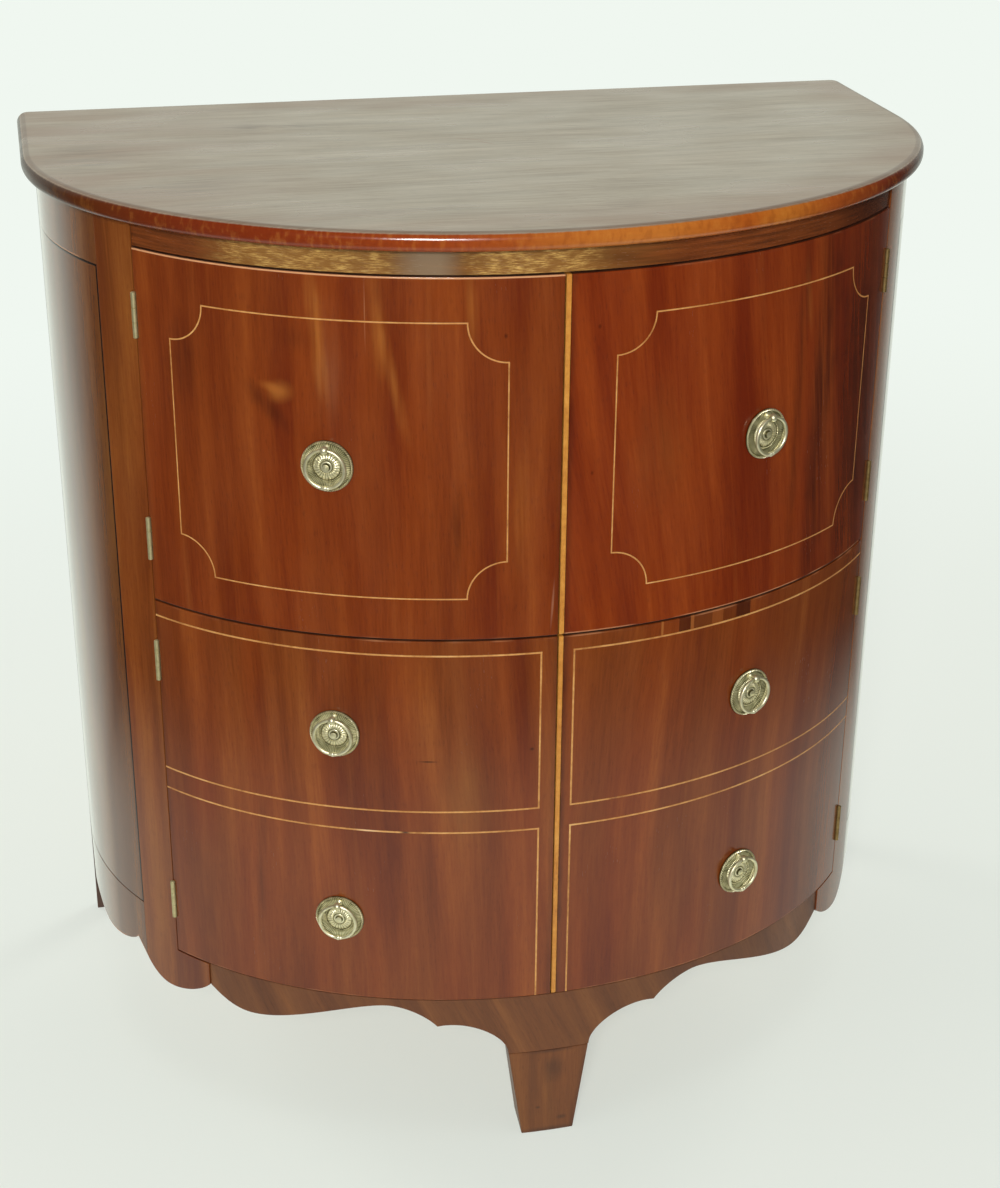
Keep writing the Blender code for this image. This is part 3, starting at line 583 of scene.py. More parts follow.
hinge_heights = {
    tier: [
        (low.z + high.z) / 2
        for low, high in (
            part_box(f"{tier}_right_{place}_hinge_stile_leaf") for place in ("bottom", "top"))
    ]
    for tier in TIERS
}
for side, label in SIDES:
    ear = swept_edge(EAR_SWEEP_SHARES, (EAR_ARC, EAR_LOW_HEIGHT), (STILE_OUTER_ARC, SILL_HEIGHT))
    clear = ear[np.abs(ear[:, 0] - STILE_INNER_ARC) > CORNER_CLEARANCE, 0]
    arcs = np.unique(np.concatenate([clear, [STILE_INNER_ARC]]))
    low = np.interp(arcs, ear[:, 0], ear[:, 1])
    keep = np.ones((2, len(arcs) - 1), bool)
    keep[1] = arcs[:-1] >= STILE_INNER_ARC - 1e-9
    if side < 0:
        arcs, low, keep = -arcs[::-1], low[::-1], keep[:, ::-1]
    mesh = flat_board(
        arcs, (low, SILL_HEIGHT, FRAME_TOP), 0, FRAME_THICKNESS, arris=0.0003, keep=keep)
    mesh = cut(mesh, hinge_cutters(hinge_heights["lower"] + hinge_heights["upper"], side))
    bend(mesh, (arcs[0], arcs[-1], (arcs, low), FRAME_TOP))
    wood = polished_mahogany(
        f"polished_mahogany_of_the_{label}_stile", 3.1 + side, tones=STILE_TONES, olive=0.35,
        thickness=FRAME_THICKNESS, shine=0.12, grime=0.0, arris_wear_and_highlight=(0, 0))
    put(f"{label}_stile_polished", mesh, wood, "carcass", f"{label}_stile")


# Sides
# Behind each stile a rail, a thin panel and a scalloped apron make the side, flush with each
# other and polished as one. Round the panel's eased edge a near-black line of painted shade
# stands for the shade in the crevice there.

POST_DEPTH = 0.034
POST_ARC = BOW_ARC + RETURN_DEPTH - POST_DEPTH - SEAM
PANEL_SILL_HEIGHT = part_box("right_side_apron")[1].z
PANEL_HEAD_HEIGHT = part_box("right_side_rail")[0].z
PANEL_THICKNESS = 0.014
SIDE_TONES = "#552a12 #613216 #6b3a1a #76441f #865228"
SIDE_SWEEP_SHARES = (
    (0, 0.386), (0.017, 0.505), (0.036, 0.64), (0.0515, 0.723),
    (0.075, 0.56), (0.172, 0.298), (0.268, 0.298),
    (0.344, 0.298), (0.405, 0.593), (0.491, 0.593),
)
CRACK = ((-0.4877, 0.6427, 0.0009, 0.041, -19), "#1a0d08", 0.8)

scallop = swept_edge(
    SIDE_SWEEP_SHARES, (STILE_OUTER_ARC, EAR_LOW_HEIGHT), (POST_ARC, SILL_HEIGHT))
REAR_FOOT_HEIGHT = float(scallop[-1, 1])
level = regular(scallop[-1, 0] + 0.004, POST_ARC)
low_arcs = np.concatenate([scallop[:, 0], level])
low_edge = np.concatenate([scallop[:, 1], np.full_like(level, REAR_FOOT_HEIGHT)])
straight = regular(STILE_OUTER_ARC, POST_ARC)
inset = regular(STILE_OUTER_ARC + SEAM, POST_ARC - SEAM)
for side, label in SIDES:
    finish = dict(
        seed=5.3 + side, tones=SIDE_TONES, olive=0.4, gold=0.10, shine=0.14, coat=0.65, grime=0.0,
        pores=0.00008)
    frame_wood = polished_mahogany(
        f"polished_mahogany_of_the_{label}_side_frame", thickness=FRAME_THICKNESS, arris_wear_and_highlight=(0.5, 0),
        **finish)
    panel_wood = polished_mahogany(
        f"polished_mahogany_of_the_{label}_side_panel", thickness=PANEL_THICKNESS, arris_wear_and_highlight=(0, 0),
        crevice_shade=0.95, spots=(CRACK,), **finish)
    for part, arcs, low, high, thickness, arris, wood in (
        ("rail", straight, PANEL_HEAD_HEIGHT, FRAME_TOP, FRAME_THICKNESS, 0.0002, frame_wood),
        ("panel", inset, PANEL_SILL_HEIGHT + SEAM, PANEL_HEAD_HEIGHT - SEAM, PANEL_THICKNESS,
         0.0010, panel_wood),
        ("apron", low_arcs, low_edge, PANEL_SILL_HEIGHT, FRAME_THICKNESS, 0.0002, frame_wood),
    ):
        low = np.broadcast_to(low, arcs.shape)
        if side < 0:
            arcs, low = -arcs[::-1], low[::-1]
        mesh = flat_board(arcs, (low, high), 0, thickness, arris)
        bend(mesh, (arcs[0], arcs[-1], (arcs, low), high))
        node_name = f"{label}_side_{part}"
        put(f"{node_name}_polished", mesh, wood, "carcass", node_name)


# Rear posts
# Straight mahogany posts at the wall that the sides and the back boards are fixed to. They run
# down past the aprons as the two rear feet, narrower at the floor and raked back to the wall.

POST_WIDTH = 0.044
REAR_FOOT_TAPER = 0.010
REAR_FOOT_RAKE = 0.022
CLEAN_EDGE = 0.004
# Very dark brown, darker than the sides: the posts' own wood, made darker still as painted shade,
# for the rear feet stand in shade under the cabinet.
POST_AND_SHADE_TONES = "#2b150c #381c10 #442415 #512d1a #633b22"

for side, label in SIDES:
    outer = HALF_WIDTH
    across = np.linspace(outer - POST_WIDTH, outer, 8)
    mesh = flat_board(
        across, (0, REAR_FOOT_HEIGHT, FRAME_TOP), BACK_PLANE - POST_DEPTH, POST_DEPTH,
        arris=0.0009)
    points = points_of(mesh)
    down = np.clip(1 - points[:, 2] / REAR_FOOT_HEIGHT, 0, 1)
    points[:, 1] += down * REAR_FOOT_RAKE * (BACK_PLANE - points[:, 1]) / POST_DEPTH
    narrow = down * (outer - points[:, 0]) / POST_WIDTH
    points[:, 0] = side * (points[:, 0] + narrow * REAR_FOOT_TAPER)
    unrolled = points[:, 0] + side * points[:, 1]
    remember(mesh, "set_out", np.stack([unrolled, 0 * down, points[:, 2]], axis=1))
    remember(mesh, "from_edges", np.stack([
        outer - np.abs(points[:, 0]) + CLEAN_EDGE, points[:, 2], FRAME_TOP - points[:, 2]], axis=1))
    if side < 0:
        mesh.flip_normals()
    # The posts' dark tones include painted shade.
    wood = polished_mahogany(
        f"stained_mahogany_of_the_{label}_post", 8.4 + side, tones=POST_AND_SHADE_TONES, olive=0, gold=0.1,
        thickness=None, shine=0.30, arris_wear_and_highlight=(0, 0))
    put(f"{label}_rear_post_dark_with_painted_shade", moved(mesh, points), wood, "carcass",
        f"{label}_rear_post")


# Frieze rail and front apron
# The rail over the doors is veneered with the grain running round the bow and figured in golden
# flecks left of its middle; the apron under them is plainer, its scalloped edge sawn and rasped.
# Both are glued in a little behind the doors' face.

SET_BACK = 0.0015
FRIEZE_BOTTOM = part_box("frieze_rail")[0].z
FOOT_TOP_WIDTH = 0.080
FOOT_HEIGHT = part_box("front_apron")[0].z
FRONT_SWEEP_SHARES = (
    (0, 0), (0, 0.30), (0.12, 0.66), (0.227, 0.533),
    (0.262, 0.72), (0.33, 0.875), (0.385, 0.875),
    (0.50, 0.875), (0.72, 0.355), (0.85, 0.355),
    (0.92, 0.355), (0.965, 0.52), (1, 0.624),
)
FRIEZE_TONES = "#5e3a1a #6b441f #754c24 #80562a #906636"
APRON_TONES = "#532810 #5e3014 #673718 #713f1c #804c25"


def golden_flecks(wood, set_out):
    """The frieze's colour: fiddleback laid lengthways, whose wavy fibre catches light in flecks.

    To the eye: golden brown in two lengths left of the middle, with bright flecks 1 mm high and
    9 mm long; between the lengths a grey painted reflection of the lamp; stained dark red brown at
    both ends, and darker still toward the right end with painted shade, where the bow turns from the
    lamp.
    """
    arc = axes(set_out)[0]
    fleck = graded(noise(set_out, (0.0090, 1, 0.0008), 3.0, 0.7), 0.40, 0.66)
    cloud = graded(noise(set_out, (0.016, 1, 0.005), 3.0), 0.38, 0.60, 0.15, 1.0)
    left_zone, right_zone = (
        graded(arc, start, start + 0.045, 0, strength) * graded(arc, end - 0.010, end + 0.030, 1, 0)
        for start, end, strength in ((-0.320, -0.150, 0.85), (-0.100, 0.015, 1.0)))
    figured = maths("MAXIMUM", left_zone, right_zone)
    wood = mixed(0.60 * figured, wood, "#875d2b")
    wood = mixed(0.68 * fleck * cloud * figured, wood, "#e0b768")
    # A grey painted reflection of the lamp, between the two figured lengths.
    dull = graded(arc, -0.150, -0.115) * graded(arc, -0.105, -0.080, 1, 0)
    wood = mixed(0.55 * dull, wood, "#8f7f68")
    ends = maths(
        "MAXIMUM", graded(arc, -0.255, -0.330, 0, 0.85), graded(arc, 0.020, 0.120, 0, 0.90))
    wood = mixed(ends, wood, toned(
        noise(set_out, (0.06, 1, 0.003)), "#54250d #7a3a16", (0.35, 0.65)))
    # Painted shade: darker toward the right end, where the bow turns away from the lamp.
    return mixed(graded(arc, 0.22, 0.34, 0, 0.7), wood, "#3c180b")


half = STILE_INNER_ARC - GLUE_LINE
mesh = flat_board(
    regular(-half, half), (FRIEZE_BOTTOM, FRAME_TOP), SET_BACK, FRAME_THICKNESS - SET_BACK,
    arris=0.0006)
bend(mesh, (-half, half, FRIEZE_BOTTOM, FRAME_TOP))
wood = polished_mahogany(
    "fiddleback_mahogany_of_the_frieze", 11.2, grain=86, tones=FRIEZE_TONES, olive=0.2, gold=0.3,
    front=SET_BACK, thickness=FRAME_THICKNESS - SET_BACK, shine=0.22, grime=0.0, arris_wear_and_highlight=(0, 0),
    figuring=golden_flecks)
put("frieze_rail_veneered", mesh, wood, "carcass", "frieze_rail")

half = EAR_ARC - GLUE_LINE
scallop = swept_edge(FRONT_SWEEP_SHARES, (FOOT_TOP_WIDTH / 2, FOOT_HEIGHT), (half, SILL_HEIGHT))
middle = regular(-FOOT_TOP_WIDTH / 2, FOOT_TOP_WIDTH / 2)[1:-1]
arcs = np.concatenate([-scallop[::-1, 0], middle, scallop[:, 0]])
low = np.concatenate([scallop[::-1, 1], np.full(len(middle), FOOT_HEIGHT), scallop[:, 1]])
mesh = flat_board(
    arcs, (low, SILL_HEIGHT), SET_BACK, FRAME_THICKNESS - SET_BACK, arris=0.0007)
bend(mesh, (-half, half, (arcs, low), SILL_HEIGHT))
wood = polished_mahogany(
    "stained_mahogany_of_the_apron", 13.7, grain=24, tones=APRON_TONES, olive=0.2, gold=0.1,
    front=SET_BACK, thickness=FRAME_THICKNESS - SET_BACK, grime=0.1, shine=0.42, arris_wear_and_highlight=(0, 0))
put("front_apron_stained", mesh, wood, "carcass", "front_apron")


# Front foot
# A tapered mahogany foot glued under the apron's middle, scuffed at the toe by floors and brooms.

FOOT_TOE_WIDTH = 0.052
FOOT_DEPTH = 0.040
FOOT_TONES = "#5c2f13 #683716 #723e19 #7d471e #8c5628"

mesh = flat_board(
    np.linspace(-1, 1, 21) * FOOT_TOP_WIDTH / 2,
    np.linspace(0, 1, 13) * (FOOT_HEIGHT - 2 * GLUE_LINE), SET_BACK, FOOT_DEPTH, arris=0.0012)
points = points_of(mesh)
points[:, 0] *= 1 - (1 - FOOT_TOE_WIDTH / FOOT_TOP_WIDTH) * (1 - points[:, 2] / FOOT_HEIGHT)
bend(moved(mesh, points), (-FOOT_TOP_WIDTH / 2, FOOT_TOP_WIDTH / 2, 0.0, FOOT_HEIGHT))
half_widths = np.interp(points[:, 2], (0, FOOT_HEIGHT), (FOOT_TOE_WIDTH / 2, FOOT_TOP_WIDTH / 2))
remember(mesh, "from_edges", np.stack([
    half_widths - np.abs(points[:, 0]), points[:, 2], FOOT_HEIGHT - points[:, 2]], axis=1))
wood = polished_mahogany(
    "scuffed_mahogany_of_the_front_foot", 15.9, tones=FOOT_TONES, olive=0.2, gold=0.1,
    thickness=None, grime=0.3, shine=0.45, arris_wear_and_highlight=(0, 0), spots=(
        ((0.004, 0.0975, 0.030, 0.0040, 0), "#2c140b", 0.6),
        ((0.0050, 0.0760, 0.0120, 0.018, 0), "#2c140b", 0.5),
        ((0.0020, 0.0400, 0.0040, 0.045, -2), "#2c140b", 0.30),
        ((-0.0100, 0.0300, 0.0030, 0.0020, 0), "#24100a", 0.6),
        ((0.0140, 0.0150, 0.0060, 0.0030, 0), "#24100a", 0.5),
        ((0.0000, 0.0020, 0.0400, 0.0035, 0), "#24100a", 0.5),
    ))
put("front_foot_scuffed", mesh, wood, "carcass", "front_foot")


# Top board
# One wide board of mahogany sawn to the plan, its front and side edge worked to a bullnose with
# hollow planes and scraped. Sun has bleached the flat of it grey brown, and a painted reflection
# of the pale wall greys and lightens it further; the nose kept its red and gold.

CARCASS_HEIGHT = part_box("top_board")[0].z
TOP_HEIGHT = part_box("top_board")[1].z
TOP_OVERHANG = 0.013
TOP_NOSE_RADIUS = 0.0075
TOP_BACK_ARRIS = 0.0008
TOP_CORNER_RADIUS = 0.012
TOP_MIDDLE = np.array([0.0, 0.02])
UNDERSIDE_OVER = -0.03


def bullnosed_top():
    """The top as rings round its rim, from the middle of the flat, over the nose, to the underside.

    The rim is the bow grown by the overhang, with round back corners. Each ring is the rim moved
    in along its normal and up or down a quarter circle; the flats are rings shrunk to the middle.
    """
    arcs = np.maximum(regular(0, BOW_ARC + RETURN_DEPTH - TOP_CORNER_RADIUS, 0.003), 1e-9)
    rim, inner = (
        round_bow(np.stack([arcs, depth + 0 * arcs, 0 * arcs], axis=1))[:, :2]
        for depth in (-TOP_OVERHANG, 0))
    turn = np.linspace(0, math.pi / 2, 10)[1:]
    outward = np.stack([np.cos(turn), np.sin(turn)], axis=1)
    pivot = np.array([HALF_WIDTH + TOP_OVERHANG, BACK_PLANE]) - TOP_CORNER_RADIUS
    wall = np.linspace(pivot[0], 0, 80)[1:-1]
    wall = np.stack([wall, np.full(len(wall), BACK_PLANE)], axis=1)
    normals = np.concatenate([
        (rim - inner) / TOP_OVERHANG, outward, np.tile([0.0, 1.0], (len(wall), 1))])
    rim = np.concatenate([rim, pivot + TOP_CORNER_RADIUS * outward, wall])
    rim = np.concatenate([rim, [[0, BACK_PLANE]], rim[:0:-1] * (-1, 1)])
    normals = np.concatenate([normals, [[0, 1]], normals[:0:-1] * (-1, 1)])

    ease = np.clip(normals[:, 1], 0, 1) ** 2
    radius = TOP_NOSE_RADIUS * (1 - ease) + TOP_BACK_ARRIS * ease
    turn = np.linspace(math.pi / 2, -math.pi / 2, 26)[:, None]
    level = np.where(turn > 0, TOP_HEIGHT, CARCASS_HEIGHT) - np.sign(turn) * radius
    nose = rim - normals * (radius * (1 - np.cos(turn)))[..., None]
    nose_height = level + radius * np.sin(turn)

    shrink = np.linspace(0, 1, 40)[1:, None, None] ** 0.8
    flat = TOP_MIDDLE + (nose[0] - TOP_MIDDLE) * shrink[:-1]
    under = TOP_MIDDLE + (nose[-1] - TOP_MIDDLE) * shrink[-2::-1]
    height = np.concatenate([
        np.full(flat.shape[:2], TOP_HEIGHT), nose_height, np.full(under.shape[:2], CARCASS_HEIGHT)])
    rings = np.concatenate([np.concatenate([flat, nose, under]), height[..., None]], axis=2)
    count, around = rings.shape[:2]
    points = np.concatenate([
        rings.reshape(-1, 3), [[*TOP_MIDDLE, TOP_HEIGHT]], [[*TOP_MIDDLE, CARCASS_HEIGHT]]])
    ring, place = np.mgrid[:count - 1, :around]
    here, there = ring * around + place, ring * around + (place + 1) % around
    quads = np.stack([here, here + around, there + around, there], axis=2).reshape(-1, 4)
    first, last = np.arange(around), (count - 1) * around + np.arange(around)
    cap = np.stack([np.full(around, count * around), first, np.roll(first, -1)], axis=1)
    base = np.stack([np.full(around, count * around + 1), np.roll(last, -1), last], axis=1)
    mesh = new_mesh(points, quads.tolist() + cap.tolist() + base.tolist())

    steps = np.linalg.norm(np.roll(rim, -1, axis=0) - rim, axis=1)
    round_rim = np.concatenate([[0], np.cumsum(steps)[:-1]])
    round_rim -= np.sum(steps) * (round_rim > np.sum(steps) / 2)
    over = np.concatenate([
        np.linalg.norm(flat - nose[0], axis=2), -np.abs(nose_height - nose_height[0]),
        np.full(under.shape[:2], UNDERSIDE_OVER)])
    kept = np.stack([np.broadcast_to(round_rim, over.shape), over, height], axis=2)
    remember(mesh, "round_rim", np.concatenate([
        kept.reshape(-1, 3), [[0, 0.3, TOP_HEIGHT], [0, UNDERSIDE_OVER, CARCASS_HEIGHT]]]))
    return mesh


def bleached_mahogany_with_painted_reflection(name):
    """The top's one board: flat scraped and polished, then bleached grey brown by sun and waxed.

    To the eye: fine grey brown grain from side to side under a soft gloss, its grey partly the
    bleached wood and partly a painted reflection of the pale wall; warmer along the front and at the
    left end, with smudges and two short scratches; and a nose still orange red, golden in places and
    nearly brown and dull at its ends. The attribute round_rim holds the distance round the rim from
    the middle of the front, right positive, the distance in from the nose (negative on the nose
    itself) and the height.
    """
    material, tree = new_material(name)
    place = objects_place(tree)
    rim = attribute(tree, "round_rim")
    round_rim, over, _ = axes(rim)

    wavy = warped(place, "Y", (0.4, 0.2, 1), 0.04)
    fine = noise(wavy, (0.06, 0.0022, 1))
    tone = 0.40 * noise(wavy, (0.30, 0.016, 1)) + 0.60 * fine
    # Grey brown: the bleached wood, greyed and lightened further as a painted reflection of the pale
    # wall.
    flat = toned(tone, "#796b58 #8a7d69 #978a76 #a69a85", (0.30, 0.44, 0.56, 0.70))
    warm = maths("MAXIMUM", graded(over, 0.09, 0.0, 0.0, 0.65), graded(
        axes(place)[0], -0.10, -0.40, 0.0, 0.75))
    cloud = graded(noise(wavy, (0.25, 0.06, 1)), 0.35, 0.65, 0.3, 1.0)
    flat = mixed(warm * cloud, flat, "#7c5c44")
    band = graded(noise(wavy, (0.05, 0.004, 1), 3.0), 0.42, 0.62)
    for x, y, half_length, half_width, strength in (
        (-0.190, 0.150, 0.060, 0.022, 0.55), (-0.370, 0.060, 0.050, 0.060, 0.35),
        (-0.290, -0.060, 0.060, 0.050, 0.30), (0.060, -0.190, 0.030, 0.020, 0.30),
    ):
        reach = in_ellipse(place, (x, y, TOP_HEIGHT), (half_length, half_width, 1))
        flat = mixed(band * graded(reach, 1.2, 0.2, 0.0, strength), flat, "#4a3a30")
    pores = graded(noise(wavy, (0.012, 0.0009, 1), 1.0), 0.58, 0.72)
    flat = mixed(0.25 * pores, flat, "#38281e")
    for x, y, angle, half_length in ((-0.0135, 0.0650, 28, 0.020), (-0.0020, 0.0480, 50, 0.012)):
        reach = in_ellipse(
            place, (x, y, TOP_HEIGHT), (half_length, 0.0010, 1), (0, 0, math.radians(-angle)))
        flat = mixed(graded(reach, 1.2, 0.4, 0.0, 0.5), flat, "#7a3a20")

    figure = noise(rim, (0.0045, 0.02, 0.012), 3.0)
    along_rim = 0.08 * noise(rim, (0.10, 0.05, 0.05), 1.0) + (round_rim - 0.04)
    nose, _ = colour_ramp(0.9 * along_rim + 0.5, [
        (0.05, "#3c2312"), (0.11, "#54270f"), (0.20, "#6a260b"), (0.27, "#74290b"),
        (0.34, "#7c2f0c"), (0.41, "#8c390f"), (0.47, "#964614"), (0.52, "#a96022"),
        (0.58, "#b06624"), (0.64, "#a04e15"), (0.69, "#ad6420"), (0.74, "#9a4a16"),
        (0.80, "#6e2a0f"), (0.90, "#3d1a0e")])
    plain = graded(abs(round_rim), 0.30, 0.60, 1.0, 0.0)
    for start, end, strength, colour in (
        (0.50, 0.70, 0.16, "#c58438"), (0.48, 0.32, 0.20, "#5c1e0a"),
    ):
        nose = mixed(graded(figure, start, end, 0.0, strength) * plain, nose, colour)
    edge = graded(over + (0.0008 * figure - 0.0004), -0.0022, -0.0012)
    rubbed = graded(over, -0.0014, -0.0006) * graded(over, 0.0010, 0.0)
    wood = mixed(edge, nose, mixed(0.45 * rubbed, flat, "#4a2a18"))

    smear = noise(place, (0.12, 0.05, 1))
    gloss = 0.10 * edge + (graded(smear, 0.3, 0.7, 0.26, 0.36) - 0.10)
    worn = (1.0 - edge) * graded(abs(round_rim), 0.34, 0.48)
    return surfaced(
        material, wood, gloss, fine, 0.25, 0.0003, Specular_IOR_Level=-0.38 * worn + 0.5)


put("top_board_bullnosed", bullnosed_top(), bleached_mahogany_with_painted_reflection("sun_bleached_mahogany_of_the_top"),
    "carcass", "top_board")


# Doors and their stringing
# Four doors, each coopered to the bow and veneered, and let in with lines of boxwood: a panel
# with hollow corners on the upper doors, two sham drawers on the lower ones. The strings are
# glued into scratched grooves and scraped almost flush.

DOOR_THICKNESS = 0.020
DOOR_EDGE_ARC = HINGE_ARC - DOOR_SIDE_GAP / 2
CLOSING_GAP = 0.001
BEAD_WIDTHS = {"upper": 0.0048, "lower": 0.0046}
BEAD_GLUE = 0.00005
STRING_WIDTHS = {"upper": 0.0012, "lower": 0.0016}
STRING_THICKNESS = 0.0010
STRING_CROWN = 0.00006
STRING_SWELL = 0.00006
PANEL_STRING_RADIUS = 0.0345
PANEL_STRING_MARGIN = 0.0385
PANEL_STRING_INNER_ARC = 0.0465
PANEL_STRING_OUTER_ARC = DOOR_EDGE_ARC - 0.0378
DRAWER_STRING_INNER_ARC = 0.0150
DRAWER_STRING_HEAD = 0.0138
DRAWER_STRING_SPLIT = 0.022
TIER_LIP = 0.0005
LOWER_DRAWER_HEIGHT = 0.1958
PULL_ARC = 0.200
STUD_HOLE_RADIUS = 0.0022


def circle(count):
    """Points round the unit circle as (cos, sin, 0)."""
    turn = np.linspace(0, 2 * math.pi, count, endpoint=False)
    return np.stack([np.cos(turn), np.sin(turn), 0 * turn], axis=1)


def along(corners, closed, spacing=0.002):
    """Points about 2 mm apart along straight runs through the corners, the corners among them."""
    corners = [np.array(corner, dtype=float) for corner in corners]
    ends = corners[1:] + corners[:1] if closed else corners[1:]
    path = [
        a + (b - a) * regular(0, 1, spacing / np.linalg.norm(b - a))[:-1, None]
        for a, b in zip(corners, ends)
    ]
    return np.concatenate(path if closed else path + [corners[-1][None]])


def closed_rings(rings, closed=False):
    """A mesh through rings of points, joined end to end or capped, with its faces outward."""
    count, around = rings.shape[:2]
    spans = count if closed else count - 1
    ring, place = np.mgrid[:spans, :around]
    here, there = ring * around + place, ring * around + (place + 1) % around
    after, across = (here + around) % (count * around), (there + around) % (count * around)
    faces = np.stack([here, there, across, after], axis=2).reshape(-1, 4).tolist()
    if not closed:
        faces += [list(range(around))[::-1], list(range((count - 1) * around, count * around))]
    points = rings.reshape(-1, 3)
    centred = points - points.mean(axis=0)
    a, b, c, d = (centred[np.array(faces[:spans * around])[:, at]] for at in range(4))
    volume = np.sum(a * np.cross(b, c)) + np.sum(a * np.cross(c, d))
    return new_mesh(points, [face[::-1] for face in faces] if volume < 0 else faces)


def line_along(path, closed, section):
    """A line laid along a flat path, mitred where the path turns.

    The section's (across, depth) points are set at each path point along the mean of the two
    normals that meet there, stretched by 1 / cos of half the turn.
    """
    if closed:
        before, after = path - np.roll(path, 1, axis=0), np.roll(path, -1, axis=0) - path
    else:
        steps = np.diff(path, axis=0)
        before, after = np.concatenate([steps[:1], steps]), np.concatenate([steps, steps[-1:]])
    first, second = (
        step[:, ::-1] * (-1, 1) / np.linalg.norm(step, axis=1)[:, None] for step in (before, after))
    mitre = first + second
    mitre /= np.linalg.norm(mitre, axis=1)[:, None]
    mitre /= np.sum(mitre * first, axis=1)[:, None]
    section = np.array(section)
    flat = path[:, None] + mitre[:, None] * section[None, :, :1]
    depth = np.broadcast_to(section[None, :, 1], flat.shape[:2])
    return closed_rings(np.stack([flat[..., 0], depth, flat[..., 1]], axis=2), closed)


def string_section(width):
    """Section of a string: square below, its face crowned by a twentieth of a millimetre."""
    half = width / 2
    return [(-half, STRING_THICKNESS), (-half, 0), (-half / 2, -STRING_CROWN),
            (half / 2, -STRING_CROWN), (half, 0), (half, STRING_THICKNESS)]


def groove_section(width):
    """Section of the groove that a string sits in."""
    half, floor = width / 2, STRING_THICKNESS + GLUE_LINE
    return [(-half, floor), (-half, -CUTTER_PROUD), (half, -CUTTER_PROUD), (half, floor)]


def panel_path(side, bottom, top):
    """The upper door's string: a rectangle whose corners are hollow quarter rounds."""
    left, right = PANEL_STRING_INNER_ARC, PANEL_STRING_OUTER_ARC
    low, high = bottom + PANEL_STRING_MARGIN, top - PANEL_STRING_MARGIN
    turn = np.linspace(0, math.pi / 2, 20)[:, None]
    hollows = [
        np.array(corner) + PANEL_STRING_RADIUS * (
            np.cos(turn) * np.array(first) + np.sin(turn) * np.array(second))
        for corner, first, second in (
            ((left, low), (1, 0), (0, 1)), ((left, high), (0, -1), (1, 0)),
            ((right, high), (-1, 0), (0, -1)), ((right, low), (0, 1), (-1, 0)))
    ]
    path = []
    for hollow, following in zip(hollows, hollows[1:] + hollows[:1]):
        path += [hollow, along([hollow[-1], following[0]], False)[1:-1]]
    return np.concatenate(path) * (side, 1)


def drawer_paths(side, bottom, top, past):
    """The lower door's two strings, open at the hinge edge; the lower one runs down to the edge."""
    split = bottom + LOWER_DRAWER_HEIGHT
    inner, outer = DRAWER_STRING_INNER_ARC, DOOR_EDGE_ARC + past
    sill, head = split + DRAWER_STRING_SPLIT / 2, top - DRAWER_STRING_HEAD
    low_head = split - DRAWER_STRING_SPLIT / 2
    upper = along([(outer, sill), (inner, sill), (inner, head), (outer, head)], False)
    lower = along([(inner, bottom - past), (inner, low_head), (outer, low_head)], False)
    return upper * (side, 1), lower * (side, 1)


def scraped_boxwood(name, tones, spots=()):
    """Boxwood line, scraped flush and polished over with the veneer.

    To the eye: pale honey yellow, unevenly browned by old polish, nearly black where dirt sits in
    a short break of the line, and glossy as the wood round it.
    """
    material, tree = new_material(name)
    set_out = attribute(tree, "set_out")
    short = noise(set_out, (0.004, 0.004, 0.004))
    tone = 0.65 * noise(set_out, (0.04, 0.03, 0.04), 3.0, 0.6) + 0.35 * short
    wood = toned(tone, tones, (0.30, 0.42, 0.55, 0.72))
    for spot, colour, strength in spots:
        wood = mixed(strength * soft_spot(set_out, spot), wood, colour)
    return surfaced(material, wood, 0.3, short, 0.2, 0.0002)


